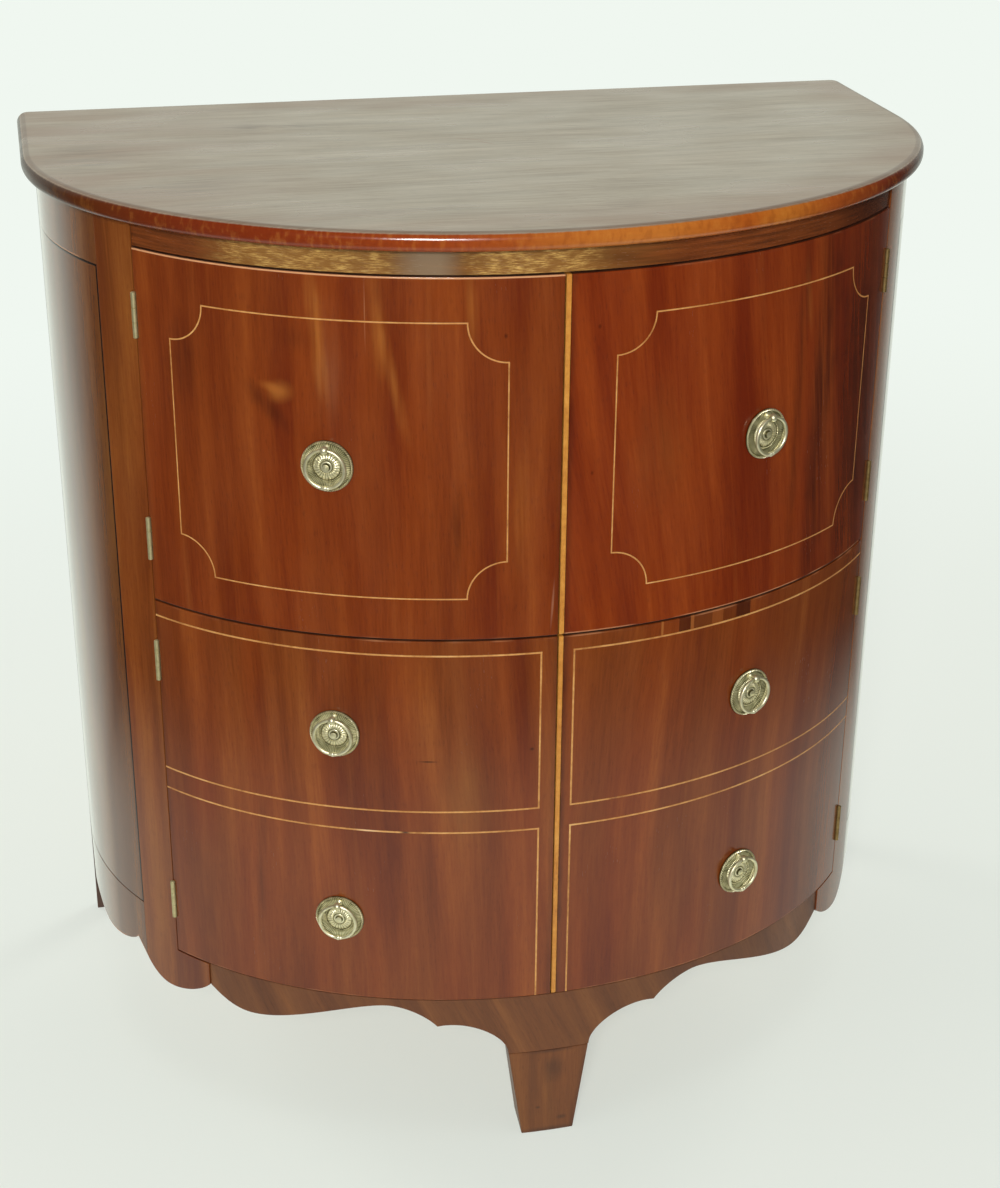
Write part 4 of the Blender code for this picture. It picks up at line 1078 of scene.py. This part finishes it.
lower_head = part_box("lower_left_door")[0].z + LOWER_DRAWER_HEIGHT - DRAWER_STRING_SPLIT / 2
string_wood = scraped_boxwood("scraped_boxwood_string", "#7f4a20 #b0763a #c68e4e #d8aa6a", (
    ((-0.1370, lower_head, 0.0050, 0.004, 0), "#3a1c10", 0.95),
    ((-0.1710, lower_head, 0.0130, 0.004, 0), "#e2bd8c", 0.8)))
# The second colour is dark brown for streaks in the veneer, and also for broad bands of painted
# shade down the right ends of the right doors.
DARK_DOT, DARK_STREAK_AND_SHADE, GOLD_STREAK = "#1c0a06", "#34140c", "#b06d2c"
OLD_LINE, LET_IN_DARK, LET_IN_MID, LET_IN_PALE = "#a3642f", "#34140a", "#623316", "#8e5024"
DOOR_WOODS = {
    "upper_left": dict(seed=21.0, grain=2, olive=0.14, arris_wear_and_highlight=(0.2, 1.0), spots=(
        ((-0.2065, 0.8260, 0.0075, 0.065, -5), GOLD_STREAK, 0.50),
        ((-0.1560, 0.8400, 0.0065, 0.060, -4), GOLD_STREAK, 0.38),
        ((-0.1430, 0.7850, 0.0060, 0.060, -12), GOLD_STREAK, 0.34),
        ((-0.0775, 0.8500, 0.0060, 0.040, -3), GOLD_STREAK, 0.30),
        ((-0.2397, 0.7683, 0.0130, 0.010, -20), GOLD_STREAK, 0.45),
        ((-0.2480, 0.7720, 0.0110, 0.005, 15), GOLD_STREAK, 0.30),
        ((-0.2520, 0.7550, 0.0100, 0.030, -45), DARK_STREAK_AND_SHADE, 0.55),
        ((-0.2255, 0.8170, 0.0180, 0.014, 0), DARK_STREAK_AND_SHADE, 0.25),
        ((-0.3310, 0.7840, 0.0200, 0.040, 0), DARK_STREAK_AND_SHADE, 0.40),
        ((-0.1950, 0.7950, 0.0120, 0.060, 0), "#8c6444", 0.20),
        ((-0.0350, 0.6650, 0.0070, 0.060, 0), GOLD_STREAK, 0.25),
        ((-0.0900, 0.6480, 0.0080, 0.050, 0), DARK_STREAK_AND_SHADE, 0.45),
        ((-0.1653, 0.8400, 0.0007, 0.030, 0), "#c08a5a", 0.35),
        ((-0.0494, 0.8233, 0.0018, 0.0025, 0), DARK_DOT, 0.60),
        ((-0.0060, 0.5750, 0.0012, 0.026, 3), "#c09070", 0.40),
    )),
    "upper_right": dict(
        seed=24.4, grain=8, tones="#651f09 #6f270b #782d0d #823510 #924216", olive=0.03, gold=0.08,
        arris_wear_and_highlight=(0.5, 0.1), grime=0.45, spots=(
            ((0.2464, 0.8190, 0.0045, 0.038, -10), GOLD_STREAK, 0.24),
            ((0.2400, 0.7400, 0.0090, 0.200, 0), DARK_STREAK_AND_SHADE, 0.50),
            ((0.2730, 0.7300, 0.0200, 0.280, 0), DARK_STREAK_AND_SHADE, 0.75),
            ((0.0300, 0.8270, 0.0016, 0.0024, 0), DARK_DOT, 0.50),
            ((0.0266, 0.6970, 0.0016, 0.0024, 0), DARK_DOT, 0.50),
            ((0.0890, 0.7100, 0.0350, 0.070, 0), "#6e4a22", 0.20),
            # Painted shade: a broad dark band down the door's right end, where the bow turns away
            # from the lamp.
            ((0.3500, 0.7100, 0.0800, 0.300, 0), DARK_STREAK_AND_SHADE, 0.80),
        )),
    "lower_left": dict(seed=27.8, grain=2, olive=0.30, gold=0.10, arris_wear_and_highlight=(0.2, 0.3), spots=(
        ((-0.2765, 0.2955, 0.0060, 0.095, 2.5), DARK_STREAK_AND_SHADE, 0.45),
        ((-0.0800, 0.3850, 0.0300, 0.060, 0), "#7a5a2c", 0.20),
        ((-0.3420, 0.3490, 0.0200, 0.070, 0), "#7a2a0e", 0.40),
        ((-0.1159, 0.4244, 0.0100, 0.0010, 0), DARK_DOT, 0.90),
        ((-0.0221, 0.4341, 0.0025, 0.0020, 0), DARK_DOT, 0.70),
    )),
    "lower_right": dict(
        seed=31.3, grain=-2, olive=0.28, gold=0.08, arris_wear_and_highlight=(0.2, 0.3), grime=0.6,
        # Painted shade: a broad dark band down the door's right end, where the bow turns away from
        # the lamp.
        spots=(((0.3500, 0.3500, 0.0600, 0.300, 0), DARK_STREAK_AND_SHADE, 0.40),),
        patches=(0.5305, 0.084, 0.208, (
            (0.000, OLD_LINE, 0), (0.032, OLD_LINE, 0.7), (0.044, OLD_LINE, 0),
            (0.166, LET_IN_DARK, 0.65), (0.292, OLD_LINE, 0.5), (0.330, LET_IN_MID, 0.6),
            (0.480, LET_IN_MID, 0.6), (0.570, LET_IN_PALE, 0.45), (0.710, "#52240f", 0.5),
            (0.860, LET_IN_DARK, 0.75), (0.970, LET_IN_DARK, 0)))),
}


def drawn_levels(body, tier):
    """A door's or bead's low and high edge, taken a little into the gap between the tiers."""
    bottom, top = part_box(body)[0].z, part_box(body)[1].z
    return (bottom - TIER_LIP, top) if tier == "upper" else (bottom, top + TIER_LIP)


pull_joints = {
    joint["child"]: joint for joint in frame["joints"] if joint["child"].endswith("_ring")}
for tier in TIERS:
    for side, label in SIDES:
        body = f"{tier}_{label}_door"
        bottom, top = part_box(body)[0].z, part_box(body)[1].z
        low, high = drawn_levels(body, tier)
        closing = CLOSING_GAP / 2 + (BEAD_WIDTHS[tier] + BEAD_GLUE if side > 0 else 0)
        arcs = side * regular(closing, DOOR_EDGE_ARC)[::side]
        mesh = flat_board(arcs, (low, high), 0, DOOR_THICKNESS, arris=0.0006)
        cutters = hinge_cutters(hinge_heights[tier], side)
        for name, joint in pull_joints.items():
            if name.startswith(f"{tier}_{label}_"):
                hole = STUD_HOLE_RADIUS * circle(24)[:, (0, 2, 1)]
                hole += (side * PULL_ARC, 0, joint["pos_m"][2])
                ends = (-CUTTER_PROUD, DOOR_THICKNESS + CUTTER_PROUD)
                cutters.append(closed_rings(np.stack([hole + (0, end, 0) for end in ends])))
        if tier == "upper":
            grooves = strings = [(panel_path(side, bottom, top), True)]
            nodes = [f"upper_{label}_stringing"]
        else:
            grooves, strings = (
                [(path, False) for path in drawer_paths(side, bottom, top, past)]
                for past in (CUTTER_PROUD, -GLUE_LINE))
            nodes = [f"lower_{label}_top_stringing", f"lower_{label}_bottom_stringing"]
        width = STRING_WIDTHS[tier]
        section = groove_section(width + GLUE_LINE)
        cutters += [line_along(path, closed, section) for path, closed in grooves]
        mesh = bend(cut(mesh, cutters), (arcs[0], arcs[-1], low, high))
        wood = polished_mahogany(
            f"polished_mahogany_of_the_{body}", **DOOR_WOODS[f"{tier}_{label}"])
        put(f"{body}_veneered", mesh, wood, body, body)
        for (path, closed), node_name in zip(strings, nodes):
            line = line_along(path, closed, string_section(width + STRING_SWELL))
            bend(line, (arcs[0], arcs[-1], bottom, top))
            put(f"{node_name}_inlaid", line, string_wood, body, node_name)


# Closing beads
# A strip of boxwood glued to the meeting edge of each right-hand door, a little proud at its
# rounded face, golden where hands have worn the stain off it.

bead_wood = scraped_boxwood("worn_boxwood_bead", "#96581f #b8762c #c88837 #d8a054")
for tier in TIERS:
    body = f"{tier}_right_door"
    low, high = drawn_levels(body, tier)
    start, end = CLOSING_GAP / 2, CLOSING_GAP / 2 + BEAD_WIDTHS[tier]
    mesh = flat_board(np.linspace(start, end, 7), (low, high), 0, DOOR_THICKNESS, arris=0.0009)
    bend(mesh, (start, end, low, high))
    put(f"{tier}_closing_bead_scraped", mesh, bead_wood, body, f"{tier}_closing_bead")


# Butt hinges
# Eight cast brass butts, one leaf screwed into a mortise in the stile and the other into the
# door's edge, with a headed pin riveted through three knuckles that stand just proud.

HINGE_LENGTH = 0.0405
PIN_RADIUS = 0.0010
KNUCKLE_EASE = 0.0003
WEB_DEPTH = 0.0036
LEAF_FRONT = 0.0025
LEAF_ARRIS = 0.00025
SCREW_DEPTH = 0.0092
SCREW_HEIGHTS = (-0.013, 0.0, 0.013)
SCREW_HEAD = (
    (0.0, 0.00005), (0.0013, 0.00005), (0.0016, -0.00010), (0.0016, -0.0006), (0.0, -0.0006))
SCREW_SLOT_HALF = (0.0003, 0.0012)
SCREW_SLOT_DEPTH = 0.0003
PIN_END = (
    (0.0, 0.0006), (0.0010, 0.0005), (0.0016, 0.0002), (0.0018, 0.0), (0.0017, -0.0002),
    (PIN_RADIUS, -0.0003))


def lathed(profile, around):
    """Rings of points about Z, one for each (radius, height) of the profile."""
    profile = np.array(profile)
    return profile[:, None, :1] * circle(around) + profile[:, None, 1:] * np.array([0, 0, 1.0])


def several(meshes):
    """One mesh from a list of them."""
    work = bmesh.new()
    for mesh in meshes:
        work.from_mesh(mesh)
    joined = bpy.data.meshes.new("joined")
    work.to_mesh(joined)
    work.free()
    return joined


def with_relief(mesh, values):
    """Give a mesh its relief: a value for each vertex or one for all."""
    values = np.broadcast_to(np.ravel(values), len(mesh.vertices))
    remember(mesh, "relief", np.repeat(values[:, None], 3, axis=1))
    return mesh


def aged_brass(name, bright, mid, low, shine):
    """Cast brass, filed, chased and lacquered, its lacquer long gone.

    To the eye: a soft yellow shine on every raised and handled spot, and a dull green brown
    patina in the hollows and round the roots of the ornament. The attribute relief holds how
    far a point stands up from its surroundings, from 0 to 1.
    """
    material, tree = new_material(name)
    place = objects_place(tree)
    speck = noise(place, (0.0008, 0.0008, 0.0008))
    blotch = 0.7 * noise(place, (0.006, 0.006, 0.006), 3.0) - 0.35
    raised = axes(attribute(tree, "relief"))[0] + blotch
    metal, _ = colour_ramp(raised, [(0.12, low), (0.45, mid), (0.80, bright)])
    gloss = 0.12 * speck + graded(raised, 0.1, 0.8, shine + 0.20, shine)
    return surfaced(material, metal, gloss, speck, 0.25, 0.0001, Metallic=0.85)


hinge_brass = {
    -1: aged_brass(
        "cast_and_filed_brass_of_the_left_hinges", "#e6dcae", "#cdc190", "#85794c", 0.42),
    # The right hinges' brass is the same as the left's, only darker: painted shade on the right of
    # the bow, which turns away from the lamp.
    1: aged_brass("darker_brass_of_the_right_hinges_in_painted_shade", "#b59a66", "#94794a", "#5d4a2c", 0.42),
}


def hinge_half(toward, own):
    """One leaf with its knuckles, screws and, on the stile's leaf, the pin, about the hinge's axis.

    X points from the axis toward the leaf's own side, Y into the wood and Z up.
    """
    section, half = HINGE_LENGTH / 3, HINGE_LENGTH / 2
    bore, ease = PIN_RADIUS + SEAM / 2, KNUCKLE_EASE
    near, far = toward * SEAM, toward * (SEAM + LEAF_THICKNESS)
    meshes = []
    for number in own:
        low = -half + number * section + (SEAM / 2 if number > 0 else 0)
        high = -half + (number + 1) * section - (SEAM / 2 if number < 2 else 0)
        knuckle = lathed([
            (bore, low), (KNUCKLE_RADIUS - ease, low), (KNUCKLE_RADIUS, low + ease),
            (KNUCKLE_RADIUS, high - ease), (KNUCKLE_RADIUS - ease, high), (bore, high)], 28)
        meshes += [closed_rings(knuckle, True), box_mesh(
            (min(near, far), PIN_RADIUS + 2 * SEAM, low), (max(near, far), WEB_DEPTH, high))]
    plate = flat_board(
        np.linspace(LEAF_FRONT, LEAF_DEPTH + KNUCKLE_PROUD, 8), (-half, half), 0, LEAF_THICKNESS,
        LEAF_ARRIS)
    x, y, z = points_of(plate).T
    moved(plate, np.stack([near + toward * y, x, z], axis=1))
    if toward > 0:
        plate.flip_normals()
    meshes.append(plate)
    for height in SCREW_HEIGHTS:
        head = lathed(SCREW_HEAD, 24)
        slot = np.all(np.abs(head[..., :2]) < SCREW_SLOT_HALF, axis=2) & (head[..., 2] > 0)
        head[..., 2] -= SCREW_SLOT_DEPTH * slot
        turned = head[..., (2, 1, 0)] * (-toward, 1, 1)
        meshes.append(closed_rings(turned + (near, SCREW_DEPTH, height)))
    if 0 in own:
        upper = [(radius, half + rise) for radius, rise in PIN_END]
        pin = upper + [(radius, -height) for radius, height in reversed(upper)]
        meshes.append(closed_rings(lathed(pin, 20)))
    return with_relief(several(meshes), 0.55)


def at_face(mesh, arc, height, proud):
    """Stand a mesh with X along the bow, Y into the wood and Z up at a place on the show face."""
    face, behind = round_bow([(arc, -proud, height), (arc, 0.02, height)])
    inward = Vector(behind - face).normalized()
    up = Vector((0, 0, 1))
    turned = Matrix((inward.cross(up), inward, up)).transposed().to_4x4()
    mesh.transform(Matrix.Translation(face) @ turned)
    return mesh


for tier in TIERS:
    for side, label in SIDES:
        for place, height in zip(("bottom", "top"), hinge_heights[tier]):
            for leaf, toward, own, body in (
                ("door_leaf", -side, (1,), f"{tier}_{label}_door"),
                ("stile_leaf", side, (0, 2), "carcass"),
            ):
                node_name = f"{tier}_{label}_{place}_hinge_{leaf}"
                mesh = at_face(hinge_half(toward, own), side * HINGE_ARC, height, KNUCKLE_PROUD)
                put(f"{node_name}_cast", mesh, hinge_brass[side], body, node_name)


# Ring pulls
# Six pulls of stamped and chased brass: a round plate with a roped rim, a channel of fine rays, a
# beaded band and a fluted rosette; an eye stud riveted through plate and door with a square nut
# behind; and a smooth drop ring with a bud at its foot, hanging in the eye.

PLATE_RADIUS = 0.0230
PLATE_RELIEF = 0.0062
CHANNEL = 0.19
PLATE_SHARES = (
    (0, 1), (0.13, 0.90), (0.16, 0.52), (0.34, 0.47), (0.44, 0.32), (0.56, 0.36),
    (0.60, CHANNEL), (0.926, CHANNEL), (0.94, 0.42), (0.98, 0.44), (1, 0.26),
)
ROPE_BAND, RAY_BAND, BEAD_BAND = (0.955, 0.045), (0.755, 0.155), (0.575, 0.036)
FLUTE_BAND, RING_BAND = (0.38, 0.14), (0.19, 0.035)
ROPE_TURNS, RAYS, HALF_BEADS, HALF_FLUTES = 60, 72, 24, 12
RING_RADIUS = 0.017
RING_STAND_OFF = 0.009
EYE_RADIUS = 0.0038
EYE_HOLE_RADIUS = 0.0022
NECK_RADIUS = 0.0017
STUD_RADIUS = 0.0020
STUD_COLLAR = (
    (NECK_RADIUS, 0.0022), (0.0024, 0.0016), (0.0031, 0.0010), (0.0031, -0.0006),
    (STUD_RADIUS, -0.0006))
STUD_TAIL = ((STUD_RADIUS, 0.0012), (0.0014, 0.0022), (0.0, 0.0023))
NUT_WIDTH = 0.009
NUT_HEIGHT = 0.003
WIRE_RADIUS = 0.0013
WIRE_SWELL = 0.0003
BUD_SWELL, BUD_HALF_ANGLE = 0.0007, 0.09
COLLAR_SWELL, COLLAR_ANGLE, COLLAR_SPREAD = 0.0004, 0.15, 0.03

pull_brass = aged_brass("chased_brass_of_the_pulls", "#fdf6d2", "#d9d09e", "#4a4520", 0.33)


def dome(value, middle, half, power=0.5):
    """1 at the middle of a band, falling as an arc of a circle to 0 at its edges."""
    return np.clip(1 - ((value - middle) / half) ** 2, 0, 1) ** power


def chased_plate():
    """The plate with its relief, as a height over (radius, angle).

    The turned profile carries, from the rim in: a rope, a half round whose height follows the
    sine of 60 times the angle, slanted by the radius; rays, the sine of 72 times the angle
    faded to the channel's sides; beads, 48 round domes; flutes, the root of a cosine of 12
    times the angle; and a domed boss inside a raised ring.
    """
    radius = np.concatenate([np.linspace(0, 0.99, 84), [0.996, 1.0, 1.0]])
    turn = np.linspace(0, 2 * math.pi, 384, endpoint=False)
    r, t = np.meshgrid(radius, turn, indexing="ij")
    smooth = np.interp(r, *np.array(PLATE_SHARES).T)
    slant = ROPE_TURNS * (t + r - ROPE_BAND[0])
    rope = dome(r, *ROPE_BAND) * (0.58 + 0.42 * np.sin(slant))
    rays = (0.5 + 0.5 * np.sin(RAYS * t)) * dome(r, *RAY_BAND)
    across, round_it = (r - BEAD_BAND[0]) / BEAD_BAND[1], 1.05 * np.sin(HALF_BEADS * t)
    bead = np.clip(1 - across ** 2 - round_it ** 2, 0, 1) ** 0.5
    flute = np.abs(np.cos(HALF_FLUTES * t)) ** 0.5 * dome(r, *FLUTE_BAND, 0.6)
    ring = dome(r, *RING_BAND)
    chased = 0.20 * rope + 0.05 * rays + 0.12 * bead + 0.10 * flute + 0.08 * ring
    height = np.clip(smooth * np.where(r > 0.93, 0.62, 1.0) - 0.05 + chased, 0.08, 1.0)
    stand = 0.12 + 0.9 * rope + 0.55 * rays + 0.9 * bead + 0.8 * flute + 0.9 * ring
    stand = np.clip(stand + 0.5 * (r < 0.12), 0, 1)
    height[-1] = stand[-1] = 0
    rings = np.stack([
        PLATE_RADIUS * r * np.cos(t), -PLATE_RELIEF * height - SEAM, PLATE_RADIUS * r * np.sin(t)],
        axis=2)
    return with_relief(closed_rings(rings), stand)


def pull_plate():
    """Plate, eye stud and nut about the plate's centre: X along the bow, Y into the wood, Z up."""
    seat = SEAM + PLATE_RELIEF * CHANNEL
    turn = np.linspace(0, math.pi - math.asin(NECK_RADIUS / EYE_RADIUS), 22)
    ball = EYE_RADIUS * np.stack([np.sin(turn), np.cos(turn)], axis=1) + (0, RING_STAND_OFF)
    collar = np.array(STUD_COLLAR) + (0, seat)
    tail = np.array(STUD_TAIL) * (1, -1) - (0, DOOR_THICKNESS + NUT_HEIGHT)
    stud = closed_rings(lathed(np.concatenate([ball, collar, tail]), 32))
    hole = EYE_HOLE_RADIUS * circle(32)[:, (2, 0, 1)] + (0, 0, RING_STAND_OFF)
    stud = cut(stud, [closed_rings(np.stack([hole + (end, 0, 0) for end in (-0.006, 0.006)]))])
    stud.transform(Matrix.Translation((0, 0, RING_RADIUS)) @ Matrix.Rotation(math.pi / 2, 4, "X"))

    half = NUT_WIDTH / 2
    nut = flat_board(
        np.linspace(-half, half, 5), (RING_RADIUS - half, RING_RADIUS + half),
        DOOR_THICKNESS + SEAM, NUT_HEIGHT, arris=0.0006)
    return several([chased_plate(), with_relief(stud, 0.6), with_relief(nut, 0.45)])


def pull_ring():
    """The drop ring about the eye's centre, hanging down.

    A circle of wire whose radius grows from 1.3 mm in the eye to 1.6 mm elsewhere, with a collar
    each side of a round bud at the foot.
    """
    turn = np.linspace(0, 2 * math.pi, 300, endpoint=False)[:, None]
    section = np.linspace(0, 2 * math.pi, 24, endpoint=False)
    from_foot = np.abs(turn - math.pi)
    wire = WIRE_RADIUS + WIRE_SWELL * np.clip((math.pi - from_foot) / 0.9, 0, 1)
    wire = wire + BUD_SWELL * dome(from_foot, 0, BUD_HALF_ANGLE)
    wire = wire + COLLAR_SWELL * np.exp(-((from_foot - COLLAR_ANGLE) / COLLAR_SPREAD) ** 2)
    reach = RING_RADIUS + wire * np.cos(section)
    rings = np.stack([
        reach * np.sin(turn), -wire * np.sin(section), reach * np.cos(turn) - RING_RADIUS], axis=2)
    stand = 0.70 + 300 * (wire - WIRE_RADIUS - WIRE_SWELL)
    stand = np.clip(stand, 0.2, 1) * np.ones_like(section)
    return with_relief(closed_rings(rings, True), stand)


plate_master, ring_master = pull_plate(), pull_ring()
for name, joint in pull_joints.items():
    x, _, height = joint["pos_m"]
    for master, node_name, body, proud, low in (
        (plate_master, name[:-len("_ring")] + "_plate", joint["parent"], 0, RING_RADIUS),
        (ring_master, name, name, RING_STAND_OFF, 0),
    ):
        mesh = at_face(master.copy(), math.copysign(PULL_ARC, x), height - low, proud)
        put(f"{node_name}_chased", mesh, pull_brass, body, node_name)


# Floor, lamps and camera
# A plain pale floor under a soft lamp beside the camera and a wide dim one overhead. The room
# that the polish mirrors is dark ahead and pale behind. The camera's lens, place and axes come
# from the pinhole camera fitted to the photo.

PAPER, MIRRORED_PAPER = "#f0f7f0", "#f2faee"
FLOOR_HALF = 12
FLOOR_CELLS = 12
FLOOR_HEIGHT = -0.0005
BESIDE_FROM = 0.41


def mirrored_paper(level):
    """What the polish mirrors: the paper's colour at a brightness."""
    grey = field(level.tree, "CombineColor", {"Red": level, "Green": level, "Blue": level})
    return mixed(1.0, grey, MIRRORED_PAPER, "MULTIPLY")


def light_path(tree, name):
    """1 for rays of one kind and 0 for others."""
    return field(tree, "LightPath", None, name)


def pale_floor():
    """Painted floor and the pale wall it runs up to: matt to the eye.

    To the polish it is pale close by and past the cabinet's sides, and dark farther off ahead.
    """
    material, tree = new_material("pale_painted_floor")
    here = objects_place(tree)
    x, y, _ = axes(here)
    away = vector_maths("LENGTH", here, output="Value")
    beside = field(tree, "CombineXYZ", {"X": abs(x) - BESIDE_FROM, "Y": y})
    paper = graded(axes(vector_maths("NORMALIZE", beside))[1], 0.42, 0.88)
    mirror = mirrored_paper(maths("MAXIMUM", graded(away, 0.75, 1.30, 0.75, 0.04), paper))
    behind = maths("MAXIMUM", graded(y, 0.3, 2.4, 0.50, 1.0), graded(away, 1.2, 3.2))
    paint = field(tree, "BsdfPrincipled", {"Base Color": "#e6eae0", "Roughness": 0.9})
    wall = field(tree, "Emission", {"Color": PAPER})
    seen = field(tree, "MixShader", {
        0: behind * light_path(tree, "Is Camera Ray"), 1: paint, 2: wall})
    glow = field(tree, "Emission", {"Color": mirror})
    both = field(tree, "MixShader", {0: light_path(tree, "Is Glossy Ray"), 1: seen, 2: glow})
    add_node(tree, "OutputMaterial", {"Surface": both})
    return material


columns = FLOOR_CELLS + 1
span = np.linspace(-FLOOR_HALF, FLOOR_HALF, columns)
across, back = np.meshgrid(span, span)
corner = (np.arange(FLOOR_CELLS)[:, None] * columns + np.arange(FLOOR_CELLS)).ravel()
mesh = new_mesh(
    np.stack([across.ravel(), back.ravel(), np.full(across.size, FLOOR_HEIGHT)], axis=1),
    np.stack([corner, corner + 1, corner + columns + 1, corner + columns], axis=1).tolist())
mesh.materials.append(pale_floor())
floor = bpy.data.objects.new("floor", mesh)
bpy.context.scene.collection.objects.link(floor)


def soft_lamp(name, place, target, size, share, mirrored=True):
    """An area lamp; share is the light on a surface that faces it, 1 showing colours as written.

    Such a surface gets power / (pi d^2) at distance d, and needs pi to show its colour as
    written, so the power is share times pi^2 d^2.
    """
    lamp = bpy.data.lights.new(name, "AREA")
    lamp.shape = "DISK"
    lamp.size = size
    place, target = Vector(place), Vector(target)
    lamp.energy = share * math.pi ** 2 * (target - place).length_squared
    holder = bpy.data.objects.new(name, lamp)
    holder.location = place
    holder.rotation_euler = (target - place).to_track_quat("-Z", "Y").to_euler()
    holder.visible_glossy = mirrored
    bpy.context.scene.collection.objects.link(holder)


soft_lamp("lamp_by_the_camera", (-0.95, -3.35, 2.25), (0, 0, 0.5), 0.8, 0.72)
soft_lamp("lamp_overhead", (0.0, 0.1, 3.4), (0, 0.1, 0.4), 2.6, 0.30, False)
for side, label in SIDES:
    soft_lamp(f"lamp_behind_{label}", (3.0 * side, 2.6, 1.9), (0, 0.1, 0.5), 1.6, 0.30, False)

world = bpy.data.worlds.new("studio")
bpy.context.scene.world = world
world.use_nodes = True
tree = world.node_tree
tree.nodes.clear()
toward = field(tree, "TexCoord", None, "Generated")
bearing = vector_maths("NORMALIZE", vector_maths("MULTIPLY", toward, (1, 1, 0)))
room = mirrored_paper(graded(axes(bearing)[1], 0.42, 0.80, 0.05, 1.0))
lit = mixed(light_path(tree, "Is Glossy Ray"), "#828280", room)
seen = mixed(light_path(tree, "Is Camera Ray"), lit, PAPER)
background = field(tree, "Background", {"Color": seen, "Strength": 1.0})
add_node(tree, "OutputWorld", {"Surface": background})

camera = bpy.data.cameras.new("camera")
camera.lens = 64.60
camera.sensor_width = 36
camera.clip_end = 60
holder = bpy.data.objects.new("camera", camera)
right = Vector((0.97545725, -0.2200457, 0.00794033))
up = Vector((0.08642636, 0.41579516, 0.9053424))
forward = Vector((0.20251825, 0.88243655, -0.42460815))
holder.matrix_world = Matrix.Translation((-0.4263, -1.87215, 1.3738)) @ Matrix(
    (right, up, -forward)).transposed().to_4x4()
bpy.context.scene.collection.objects.link(holder)
bpy.context.scene.camera = holder
bpy.context.scene.view_settings.view_transform = "Standard"
